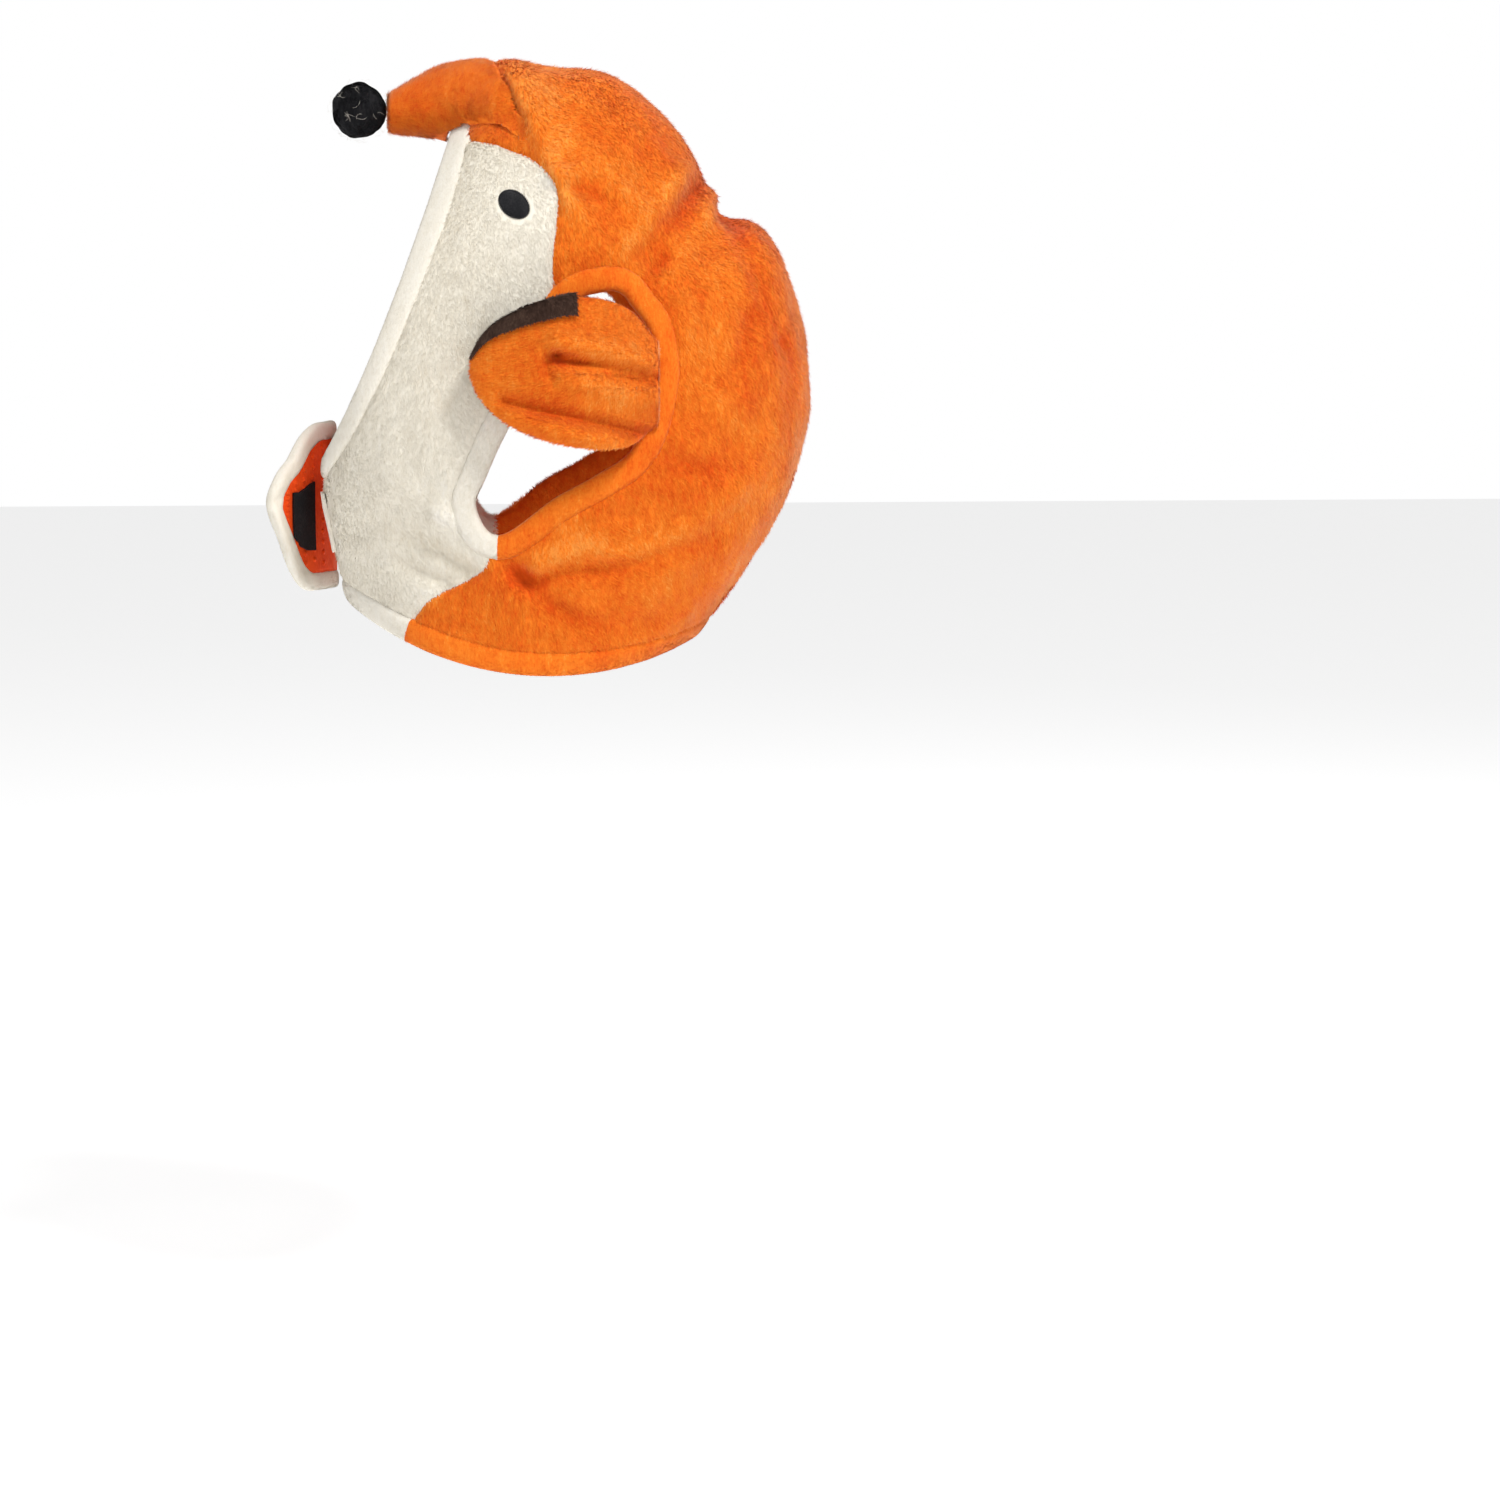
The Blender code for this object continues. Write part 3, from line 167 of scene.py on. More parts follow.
LOWER_SEAM = [
    (0.400, 0.330),
    (0.352, 0.258),
    (0.341, 0.240),
    (0.322, 0.205),
    (0.286, 0.184),
    (0.226, 0.161),
    (0.188, 0.130),
    (0.166, 0.085),
    (0.158, 0.000),
]

# Ear from its sewn end to its tip in side view
# depth, height, half breadth, lift off the hood in mm
EAR_ROWS = [
    (0.652, 0.500, 0.078, 3.3),
    (0.615, 0.506, 0.104, 7.0),
    (0.560, 0.512, 0.115, 12.0),
    (0.500, 0.516, 0.114, 16.0),
    (0.446, 0.516, 0.104, 16.5),
    (0.392, 0.516, 0.088, 14.5),
    (0.346, 0.518, 0.066, 12.5),
    (0.318, 0.520, 0.040, 11.5),
    (0.302, 0.522, 0.014, 11.0),
]

EAR_FOLDS = [
    (0.470, 0.540, 0.560, 0.522, 0.670, 0.502, 2.6, 2.6, -6.0, -4.0),
    (0.470, 0.540, 0.450, 0.530, 0.462, 0.508, 2.4, 2.4, -3.5, -2.0),
    (0.470, 0.566, 0.560, 0.552, 0.650, 0.535, 4.5, 4.5, 4.0, 2.6),
    (0.480, 0.512, 0.560, 0.496, 0.650, 0.475, 5.0, 5.0, 2.8, 2.0),
    (0.370, 0.472, 0.490, 0.450, 0.650, 0.418, 3.2, 3.2, -4.4, -3.4),
    (0.380, 0.445, 0.500, 0.420, 0.620, 0.390, 4.5, 4.5, 2.0, 2.0),
]

POMPOM_PLACE = (0.084, 0.927)

EYE_PLACE = (0.390, 0.774)

EYE_TURN = math.radians(45)

# Chin flap from its seam to its free edge
# share of the reach, sideways in mm, top height, bottom height
FLAP_ROWS = [
    (0.00, -23.0, 0.440, 0.134),
    (0.20, -14.0, 0.438, 0.134),
    (0.42, -6.0, 0.420, 0.138),
    (0.62, 0.0, 0.388, 0.166),
    (0.80, 4.5, 0.366, 0.216),
    (0.93, 8.0, 0.340, 0.252),
    (1.00, 10.0, 0.322, 0.282),
]


def spline(rows, share):
    """Smooth curve through the rows, with share 0 at the first and 1 at the last."""
    rows = np.asarray(rows, float)
    last = len(rows) - 1
    x = np.asarray(share, float) * last
    inside = np.clip(x, 0, last)
    i = np.clip(np.floor(inside).astype(int), 0, last - 1)
    f = (inside - i)[..., None]
    pad = np.vstack([2 * rows[0] - rows[1], rows, 2 * rows[-1] - rows[-2]])
    p0, p1, p2, p3 = (pad[i + k] for k in range(4))
    value = 0.5 * (
        2 * p1
        + (p2 - p0) * f
        + (2 * p0 - 5 * p1 + 4 * p2 - p3) * f**2
        + (3 * p1 - p0 - 3 * p2 + p3) * f**3
    )
    slope = np.where(x[..., None] < 0, rows[1] - rows[0], rows[-1] - rows[-2])
    return value + (x - inside)[..., None] * slope


def placed(shares):
    """Side view shares as (Y, Z) in mm, before the seat is taken off."""
    shares = np.asarray(shares, float)
    return (shares - np.array([SEAT_DEPTH_SHARE, 0.0])) * (HOOD_DEPTH, HOOD_HEIGHT)


def relief(side, folds):
    """Rise of all the folds at side view points."""
    total = np.zeros(side.shape[:-1])
    step = np.linspace(0, 1, 11)[:, None]
    for row in folds:
        p0, p1, p2 = placed(np.reshape(row[:6], (3, 2)))
        run = (
            p0 * 2 * (step - 0.5) * (step - 1)
            - p1 * 4 * step * (step - 1)
            + p2 * 2 * step * (step - 0.5)
        )
        best = np.full(total.shape, 1e9)
        signed = np.zeros(total.shape)
        along = np.zeros(total.shape)
        for k, (a, b) in enumerate(zip(run[:-1], run[1:])):
            d = b - a
            rel = side - a
            u = np.clip((rel @ d) / (d @ d), 0, 1)
            off = rel - u[..., None] * d
            far = np.hypot(off[..., 0], off[..., 1])
            turn = d[0] * rel[..., 1] - d[1] * rel[..., 0]
            near = far < best
            best = np.where(near, far, best)
            signed = np.where(near, np.sign(turn) * far, signed)
            along = np.where(near, (k + u) / 10, along)
        width = np.where(signed > 0, row[6], row[7])
        total += (row[8] + (row[9] - row[8]) * along) * np.exp(-((best / width) ** 2))
    return total


def bare(at):
    """Hood surface with no folds at (ring angle, ring share)."""
    a, t = at[..., 0], at[..., 1]
    row = spline(SECTIONS, t)
    top = placed(row[..., 0:2])
    throat = placed(row[..., 2:4])
    chord = top - throat
    long = np.linalg.norm(chord, axis=-1, keepdims=True)
    across = np.stack([chord[..., 1], -chord[..., 0]], -1) / long
    s = np.sin(a + row[..., 6] * np.sin(a))
    w = s * (1 + row[..., 7] * (1 - s * s))
    rise = ((1 - np.cos(a)) / 2)[..., None]
    side = throat + chord * rise + across * (row[..., 5] * HOOD_HEIGHT * w * w)[..., None]
    return np.concatenate([(row[..., 4] * HOOD_WIDTH / 2 * w)[..., None], side], -1)


def outward(at, surface):
    """Unit normal of a surface by small differences."""
    e = 1e-4
    da = surface(at + (e, 0)) - surface(at - (e, 0))
    dt = surface(at + (0, e)) - surface(at - (0, e))
    n = np.cross(dt, da)
    return n / np.linalg.norm(n, axis=-1, keepdims=True)


def skin(at, depth=0.0, lining=False):
    """Hood surface with its folds, at a depth below the outer face."""
    at = np.asarray(at, float)
    base = bare(at)
    rise = relief(base[..., 1:], FOLDS)
    if lining:
        rise = np.minimum(rise, 0.35 * rise)
    return base + outward(at, bare) * (rise - depth)[..., None]


GRID_A = np.linspace(-0.6, 2 * math.pi, 220)
GRID_T = np.linspace(-0.03, 1.03, 110)
GRID = np.stack(np.meshgrid(GRID_A, GRID_T, indexing="ij"), -1)
GRID_SKIN = skin(GRID)


def flat_table():
    """Unrolled position of every grid point: ring length along each ring's side view line."""
    zero = int(np.argmin(np.abs(GRID_A)))
    steps = np.linalg.norm(np.diff(bare(GRID), axis=0), axis=-1)
    run = np.vstack([np.zeros((1, len(GRID_T))), np.cumsum(steps, axis=0)])
    run -= run[zero]
    row = spline(SECTIONS, GRID_T)
    throat = placed(row[:, 2:4])
    chord = placed(row[:, 0:2]) - throat
    chord /= np.linalg.norm(chord, axis=-1, keepdims=True)
    return throat[None] + run[..., None] * chord[None]


FLAT = flat_table()


def flat(at):
    """Unrolled position of (ring angle, ring share) points."""
    at = np.asarray(at, float)
    x = (at[..., 0] - GRID_A[0]) / (GRID_A[1] - GRID_A[0])
    y = (at[..., 1] - GRID_T[0]) / (GRID_T[1] - GRID_T[0])
    i = np.clip(np.floor(x).astype(int), 0, len(GRID_A) - 2)
    j = np.clip(np.floor(y).astype(int), 0, len(GRID_T) - 2)
    u, v = (x - i)[..., None], (y - j)[..., None]
    low = FLAT[i, j] * (1 - u) + FLAT[i + 1, j] * u
    high = FLAT[i, j + 1] * (1 - u) + FLAT[i + 1, j + 1] * u
    return low * (1 - v) + high * v


def tree_of(points):
    tree = KDTree(len(points))
    for k, p in enumerate(points):
        tree.insert(Vector((*p, 0.0)) if len(p) == 2 else Vector(p), k)
    tree.balance()
    return tree


LEFT_HALF = (GRID_A >= 0) & (GRID_A <= math.pi)
LEFT_GRID = GRID[LEFT_HALF].reshape(-1, 2)
LEFT_SIDE_TREE = tree_of(GRID_SKIN[LEFT_HALF].reshape(-1, 3)[:, 1:])
SKIN_TREE = tree_of(GRID_SKIN.reshape(-1, 3))
FLAT_TREE = tree_of(FLAT.reshape(-1, 2))


def solved(at, goal, value):
    """Newton steps on (ring angle, ring share) until value(at) lies nearest to the goal."""
    at = np.array(at, float)
    e = 1e-4
    for _ in range(8):
        miss = goal - value(at)
        ja = (value(at + (e, 0)) - value(at - (e, 0))) / (2 * e)
        jt = (value(at + (0, e)) - value(at - (0, e))) / (2 * e)
        jac = np.stack([ja, jt], -1)
        square = np.einsum("...ki,...kj->...ij", jac, jac) + np.eye(2) * 1e-6
        pull = np.einsum("...ki,...k->...i", jac, miss)
        move = np.linalg.solve(square, pull[..., None])[..., 0]
        at += np.clip(move, (-0.15, -0.05), (0.15, 0.05))
    return at


def located(shares):
    """Ring coordinates on the left side of side view points given as shares."""
    side = placed(shares)
    start = [LEFT_GRID[LEFT_SIDE_TREE.find(Vector((*p, 0.0)))[1]] for p in side]
    return solved(start, side, lambda at: skin(at)[..., 1:])


def foot(points, start=None):
    """Ring coordinates of the nearest skin points."""
    points = np.asarray(points, float)
    if start is None:
        cells = GRID.reshape(-1, 2)
        start = [cells[SKIN_TREE.find(Vector(p))[1]] for p in points]
    return solved(start, points, skin)


def resampled(path, step, closed=False):
    """Smooth path through ring coordinates, with even steps along the skin."""
    path = np.asarray(path, float)
    if closed:
        path = np.vstack([path[-2:], path, path[:3]])
    fine = spline(path, np.linspace(0, 1, 40 * len(path)))
    if closed:
        first, last = 2 / (len(path) - 1), 1 - 2 / (len(path) - 1)
        fine = spline(path, np.linspace(first, last, 40 * len(path)))
    lengths = np.linalg.norm(np.diff(bare(fine), axis=0), axis=-1)
    run = np.concatenate([[0], np.cumsum(lengths)])
    count = max(3, int(round(run[-1] / step)))
    marks = np.linspace(0, run[-1], count + 1)
    if closed:
        marks = marks[:-1]
    return np.stack([np.interp(marks, run, fine[:, k]) for k in (0, 1)], -1)


def frames(path, closed=False):
    """Position, run direction, outward normal and the direction across for a path on the skin."""
    p = bare(path)
    if closed:
        run = np.roll(p, -1, axis=0) - np.roll(p, 1, axis=0)
    else:
        run = np.gradient(p, axis=0)
    run /= np.linalg.norm(run, axis=-1, keepdims=True)
    n = outward(path, bare)
    n -= run * (n * run).sum(-1, keepdims=True)
    n /= np.linalg.norm(n, axis=-1, keepdims=True)
    return p, run, n, np.cross(run, n)


def shifted(path, distance, closed=False):
    """The path moved across itself along the skin."""
    p, _, _, across = frames(path, closed)
    return solved(path, p + across * distance, bare)


def crossing(one, two):
    """Where one path first meets another: cut positions along both."""
    f1, f2 = flat(one), flat(two)
    a, b = f1[:-1, None], f1[1:, None]
    c, d = f2[None, :-1], f2[None, 1:]
    r, s = b - a, d - c
    cross = r[..., 0] * s[..., 1] - r[..., 1] * s[..., 0]
    cross = np.where(np.abs(cross) < 1e-12, 1e-12, cross)
    q = c - a
    u = (q[..., 0] * s[..., 1] - q[..., 1] * s[..., 0]) / cross
    v = (q[..., 0] * r[..., 1] - q[..., 1] * r[..., 0]) / cross
    hit = np.argwhere((u >= 0) & (u <= 1) & (v >= 0) & (v <= 1))
    if not len(hit):
        raise ValueError("two boundary paths never meet")
    i, j = hit[0]
    return i + u[i, j], j + v[i, j]


def at_mark(path, mark):
    i = min(int(mark), len(path) - 2)
    return path[i] + (path[i + 1] - path[i]) * (mark - i)


def cut(path, start, end):
    """Part of a path between two marks, with the marks as its ends."""
    inner = [k for k in range(len(path)) if start + 0.12 < k < end - 0.12]
    return np.vstack([at_mark(path, start), *[path[k] for k in inner], at_mark(path, end)])


def outline(paths):
    """Closed outline from paths that each cross the next."""
    count = len(paths)
    marks = [crossing(paths[k], paths[(k + 1) % count]) for k in range(count)]
    loop = []
    for k, path in enumerate(paths):
        start = marks[k - 1][1]
        end = marks[k][0]
        loop.extend(cut(path, start, end)[:-1])
    return np.array(loop)


def inside(points, loop):
    a, b = loop, np.roll(loop, -1, axis=0)
    x, y = points[:, None, 0], points[:, None, 1]
    up = (a[None, :, 1] > y) != (b[None, :, 1] > y)
    rise = np.where(b[:, 1] == a[:, 1], 1e-12, b[:, 1] - a[:, 1])
    at = a[None, :, 0] + (y - a[None, :, 1]) * ((b[:, 0] - a[:, 0]) / rise)[None]
    return ((x < at) & up).sum(1) % 2 == 1


def clear_of(points, loop):
    """Distance from each point to a closed line."""
    a, b = loop[None], np.roll(loop, -1, axis=0)[None]
    d = b - a
    rel = points[:, None] - a
    u = np.clip((rel * d).sum(-1) / np.maximum((d * d).sum(-1), 1e-12), 0, 1)
    return np.linalg.norm(rel - u[..., None] * d, axis=-1).min(1)


def mirrored(at):
    """The same place on the other side."""
    return np.stack([2 * math.pi - at[..., 0], at[..., 1]], -1)


def sheet(loop, inner, holes=()):
    """Ring coordinates and triangles that fill a loop round the given inner points."""
    f_loop = flat(loop)
    f_holes = [flat(h) for h in holes]
    points = np.vstack([loop, *holes, inner])
    spots = flat(points)
    edges = []
    start = 0
    for ring in [loop, *holes]:
        n = len(ring)
        edges += [(start + k, start + (k + 1) % n) for k in range(n)]
        start += n
    out = delaunay_2d_cdt([Vector(p) for p in spots], edges, [], 0, 1e-6, True)
    spots_out = np.array([tuple(v) for v in out[0]])
    source = [ids[0] for ids in out[3]]
    tris = np.array(out[2])
    middle = spots_out[tris].mean(1)
    keep = inside(middle, f_loop)
    for h in f_holes:
        keep &= ~inside(middle, h)
    tris = np.array(source)[tris[keep]]
    return points, tris


def closed_pair(outer, inner, tris):
    n = len(outer)
    count = {}
    for t in tris:
        for a, b in ((t[0], t[1]), (t[1], t[2]), (t[2], t[0])):
            count[(a, b)] = count.get((a, b), 0) + 1
    rim = [(a, b) for (a, b) in count if (b, a) not in count]
    faces = [tuple(t) for t in tris] + [(t[0] + n, t[2] + n, t[1] + n) for t in tris]
    for a, b in rim:
        faces += [(b, a, a + n), (b, a + n, b + n)]
    used = sorted({i for f in faces for i in f})
    new = {old: k for k, old in enumerate(used)}
    verts = np.vstack([outer, inner])[used]
    return verts, [tuple(new[i] for i in f) for f in faces]


def seat_height():
    """Height of the inside of the lining above the seat."""
    top = solved([[math.pi, 0.27]], np.array([[0.0]]), lambda at: bare(at)[..., 1:2])
    return float(skin(top, PLUSH + LAYER_GAP + LINING, True)[0, 2])


def ring_path(share_of_edge, start, end):
    """Path along a whole edge, moved inwards by half a hem."""
    angles = np.linspace(start, end, 90)
    path = np.stack([angles, np.full(90, share_of_edge)], -1)
    way = 1 if share_of_edge < 0.5 else -1
    moved = path
    for _ in range(2):
        p, _, _, across = frames(path)
        inward = bare(path + (0, way * 0.01)) - p
        sign = np.sign((inward * across).sum(-1, keepdims=True))
        moved = solved(path, p + across * sign * HEM_WIDTH / 2, bare)
    return resampled(moved, EDGE_STEP)


def away(path, distance, goal):
    """The path moved across itself, to the side on which the goal lies."""
    one, two = shifted(path, distance), shifted(path, -distance)
    mid = len(path) // 2
    near_one = np.linalg.norm(skin(one[mid]) - skin(goal))
    near_two = np.linalg.norm(skin(two[mid]) - skin(goal))
    return one if near_one < near_two else two


def away_closed(path, distance):
    """A closed path moved outwards across itself."""
    one = shifted(path, distance, True)
    two = shifted(path, -distance, True)
    spread = [np.linalg.norm(skin(p) - skin(p).mean(0), axis=-1).mean() for p in (one, two)]
    return one if spread[0] > spread[1] else two


def flap_sheet(u, v):
    """Inner face of the chin flap: u from its seam to its free edge, v from bottom to top."""
    row = spline(FLAP_ROWS, u)
    y = placed([(FLAP_DEPTH_SHARE, 0.0)])[0, 0] - row[..., 0] * FLAP_REACH
    low, high = row[..., 3] * HOOD_HEIGHT, row[..., 2] * HOOD_HEIGHT
    z = low + (high - low) * v
    cup = 3.0 * np.sin(math.pi * v) * row[..., 0]
    return np.stack([row[..., 1] - 0.8 * cup, y - 0.6 * cup, z], -1)


def flap_normal(u, v):
    e = 1e-3
    n = np.cross(flap_sheet(u, v + e) - flap_sheet(u, v - e), flap_sheet(u + e, v) - flap_sheet(u - e, v))
    n /= np.linalg.norm(n, axis=-1, keepdims=True)
    return n * np.sign(n[..., 0:1] + 1e-9) * -1


def flap_at(at):
    return flap_sheet(at[..., 0], at[..., 1])


def flap_edge():
    """Path of the flap's hem: out along the top, down the free edge and back along the bottom."""
    turn = np.linspace(math.pi / 2, -math.pi / 2, 17)
    u = FLAP_START + (0.9 - FLAP_START) * np.clip(np.cos(turn), 0, 1) ** 0.62
    v = 0.5 + 0.4 * np.sign(np.sin(turn)) * np.abs(np.sin(turn)) ** 0.8
    return np.stack([u, v], -1)


def flap_frames(path):
    p, n = flap_at(path), flap_normal(path[:, 0], path[:, 1])
    run = np.gradient(p, axis=0)
    run /= np.linalg.norm(run, axis=-1, keepdims=True)
    n -= run * (n * run).sum(-1, keepdims=True)
    n /= np.linalg.norm(n, axis=-1, keepdims=True)
    return p, run, n, np.cross(run, n)


SEAT_HEIGHT = seat_height()
CELLS = GRID.reshape(-1, 2)


# Cloth forms


def ruffle(points, size, seed=0.0):
    """Smooth random value from -1 to 1 at each point, with waves of about the given size."""
    shift = Vector((seed, seed * 0.7, seed * 1.3))
    return np.array([noise.noise(Vector(p) / size + shift) for p in np.asarray(points)])


def lattice(loop, step, holes=()):
    """Ring coordinates of an even lattice inside a loop and outside its holes."""
    f_loop = flat(loop)
    low, high = f_loop.min(0), f_loop.max(0)
    xs = np.arange(low[0], high[0], step)
    ys = np.arange(low[1], high[1], step * 0.866)
    spots = np.array([(x + (k % 2) * step / 2, y) for k, y in enumerate(ys) for x in xs])
    keep = inside(spots, f_loop) & (clear_of(spots, f_loop) > step * 0.6)
    for hole in holes:
        f_hole = flat(hole)
        keep &= ~inside(spots, f_hole) & (clear_of(spots, f_hole) > step * 0.6)
    spots = spots[keep]
    guess = [CELLS[FLAT_TREE.find(Vector((*p, 0.0)))[1]] for p in spots]
    return solved(guess, spots, flat)


def panel(loop, step, holes=()):
    """Ring coordinates, triangles and distance from the edge of a cloth panel."""
    at, tris = sheet(loop, lattice(loop, step, holes), holes)
    spots = flat(at)
    far = clear_of(spots, flat(loop))
    for hole in holes:
        far = np.minimum(far, clear_of(spots, flat(hole)))
    return at, tris, far


def rolled(far, depth, width):
    """Dip of a panel's face towards its sewn edge."""
    return depth * np.exp(-((far / width) ** 2))


def welded(verts, faces, reach=0.02):
    """The same body with points closer than the reach made one."""
    keys, index = np.unique(np.round(verts / reach).astype(int), axis=0, return_inverse=True)
    index = index.reshape(-1)
    places = np.zeros((len(keys), 3))
    places[index] = verts
    faces = index[faces]
    a, b, c = faces.T
    return places, faces[(a != b) & (b != c) & (a != c)]


def corner_normals(verts, faces):
    """Unit normal at each point, from the faces round it."""
    a, b, c = (verts[faces[:, k]] for k in range(3))
    across = np.cross(b - a, c - a)
    total = np.zeros_like(verts)
    for k in range(3):
        np.add.at(total, faces[:, k], across)
    return total / np.maximum(np.linalg.norm(total, axis=1, keepdims=True), 1e-12)


def grid_faces(rows, columns, closed=False):
    """Triangles of a grid of points, closed across its columns where wanted."""
    i, k = np.meshgrid(np.arange(rows - 1), np.arange(columns if closed else columns - 1), indexing="ij")
    m = (k + 1) % columns
    a, b, c, d = i * columns + k, i * columns + m, (i + 1) * columns + m, (i + 1) * columns + k
    return np.concatenate([np.stack([a, b, c], -1), np.stack([a, c, d], -1)]).reshape(-1, 3)


def roll(rings, blunt=0.35):
    """Closed body through many rings of points, its ends drawn in to a rounded cap."""
    first, last = rings[0].mean(0), rings[-1].mean(0)
    ahead = last - rings[-2].mean(0)
    behind = first - rings[1].mean(0)
    ahead, behind = ahead / np.linalg.norm(ahead), behind / np.linalg.norm(behind)
    size = np.linalg.norm(rings[0] - first, axis=1).min() * blunt
    caps = []
    for share in (0.0, 0.35, 0.7, 0.9):
        push = size * math.sqrt(1 - share * share)
        caps.append((share, push))
    start = [first + (rings[0] - first) * s + behind * p for s, p in caps]
    end = [last + (rings[-1] - last) * s + ahead * p for s, p in reversed(caps)]
    every = np.concatenate([np.array(start), rings, np.array(end)])
    count, size = every.shape[:2]
    return every.reshape(-1, 3), grid_faces(count, size, True)


# Pieces


def piece(name, body, look, slot, *nodes, shut=True, tone_and_shade=None):
    """One visible piece from points in mm and triangles, with a value at each point that shifts its colour: random
    mottle, and painted fold shade and highlight where given.
    """
    verts, faces = np.asarray(body[0], float), np.asarray(body[1], int)
    if shut:
        a, b, c = (verts[faces[:, k]] for k in range(3))
        if np.einsum("ij,ij->", a, np.cross(b, c)) < 0:
            faces = faces[:, ::-1]
    verts = (verts - (0.0, 0.0, SEAT_HEIGHT)) / 1000
    mesh = bpy.data.meshes.new(name)
    mesh.vertices.add(len(verts))
    mesh.vertices.foreach_set("co", verts.astype(np.float32).ravel())
    mesh.loops.add(faces.size)
    mesh.loops.foreach_set("vertex_index", faces.astype(np.int32).ravel())
    mesh.polygons.add(len(faces))
    mesh.polygons.foreach_set("loop_start", np.arange(0, faces.size, 3, dtype=np.int32))
    mesh.polygons.foreach_set("use_smooth", np.ones(len(faces), bool))
    mesh.update(calc_edges=True)
    if tone_and_shade is not None:
        mesh.attributes.new("tone_and_shade", "FLOAT", "POINT").data.foreach_set("value", tone_and_shade.astype(np.float32))
    mesh.validate()
    mesh.materials.append(look)
    made = bpy.data.objects.new(name, mesh)
    bpy.context.scene.collection.objects.link(made)
    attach(made, "root")
    if nodes:
        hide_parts(*nodes)
    return made


def pile(
    name,
    verts,
    tris,
    count,
    look,
    slot,
    length=2.4,
    width=0.66,
    lean=21,
    sweep=(0, 0.5, -0.85),
    seed=1,
    stir=0.55,
    tone_and_shade=None,
    vary=0.035,
):
    """Short nap as single narrow blades that lie over a cloth face, brushed along the sweep."""
    rng = np.random.default_rng(seed)
    a, b, c = (verts[tris[:, k]] for k in range(3))
    area = np.linalg.norm(np.cross(b - a, c - a), axis=1)
    pick = rng.choice(len(tris), count, p=area / area.sum())
    r, s = np.sqrt(rng.random(count)), rng.random(count)
    mix = np.stack([1 - r, r * (1 - s), r * s], 1)[..., None]
    normals = corner_normals(verts, tris)
    p = (verts[tris[pick]] * mix).sum(1)
    n = (normals[tris[pick]] * mix).sum(1)
    n /= np.linalg.norm(n, axis=1, keepdims=True)
    swirl = np.array([tuple(noise.noise_vector(Vector(q) / 26)) for q in p])
    swirl += 0.6 * np.array([tuple(noise.noise_vector(Vector(q) / 7)) for q in p])
    nap = np.asarray(sweep, float) + swirl * stir
    nap -= n * (nap * n).sum(1, keepdims=True)
    nap /= np.maximum(np.linalg.norm(nap, axis=1, keepdims=True), 1e-9)
    side = np.cross(n, nap)
    turn = rng.normal(0, 0.28, count)[:, None]
    nap, side = nap * np.cos(turn) + side * np.sin(turn), side * np.cos(turn) - nap * np.sin(turn)
    rise = np.radians(np.clip(rng.normal(lean, 8, count), 5, 80))[:, None]
    reach = length * rng.uniform(0.55, 1.2, count)[:, None]
    half = width / 2 * rng.uniform(0.7, 1.2, count)[:, None]
    root = p - n * 0.12
    tip = p + (nap * np.cos(rise) + n * np.sin(rise)) * reach
    points = np.stack([root + side * half, root - side * half, tip], 1).reshape(-1, 3)
    face = np.arange(3 * count).reshape(-1, 3)
    # Random colour shift of each blade, plus the painted fold shade and highlight of the face below where given
    shades = rng.normal(0, vary, count) + 1.3 * vary * ruffle(p, 2.6, seed)
    if tone_and_shade is not None:
        shades += (tone_and_shade[tris[pick]] * mix[..., 0]).sum(1)
    made = piece(name, (points, face), look, slot, shut=False, tone_and_shade=np.repeat(shades, 3))
    shade = n * 0.84 + (n * np.cos(rise) - nap * np.sin(rise)) * 0.16 + rng.normal(0, 0.07, (count, 3))
    shade /= np.linalg.norm(shade, axis=1, keepdims=True)
    made.data.normals_split_custom_set(np.repeat(shade, 3, axis=0).tolist())
    return made


def fold_shade_and_tone(verts, folds):
    """Painted highlight along the fold ridges and painted shade in the fold creases, from the side view relief,
    with a small random mottle on top.
    """
    return np.clip(0.055 * relief(verts[:, 1:], folds), -0.22, 0.12) + 0.05 * ruffle(verts, 16.0, 12.0)


def both(body):
    """A left body joined with its mirror image across X = 0."""
    verts, faces = np.asarray(body[0]), np.asarray(body[1])
    verts = np.concatenate([verts, verts * (-1, 1, 1)])
    return welded(verts, np.concatenate([faces, faces[:, ::-1] + len(verts) // 2]))


def flipped(body):
    """The same body on the other side of X = 0."""
    verts, faces = body
    return np.asarray(verts) * (-1, 1, 1), np.asarray(faces)[:, ::-1]


# Looks


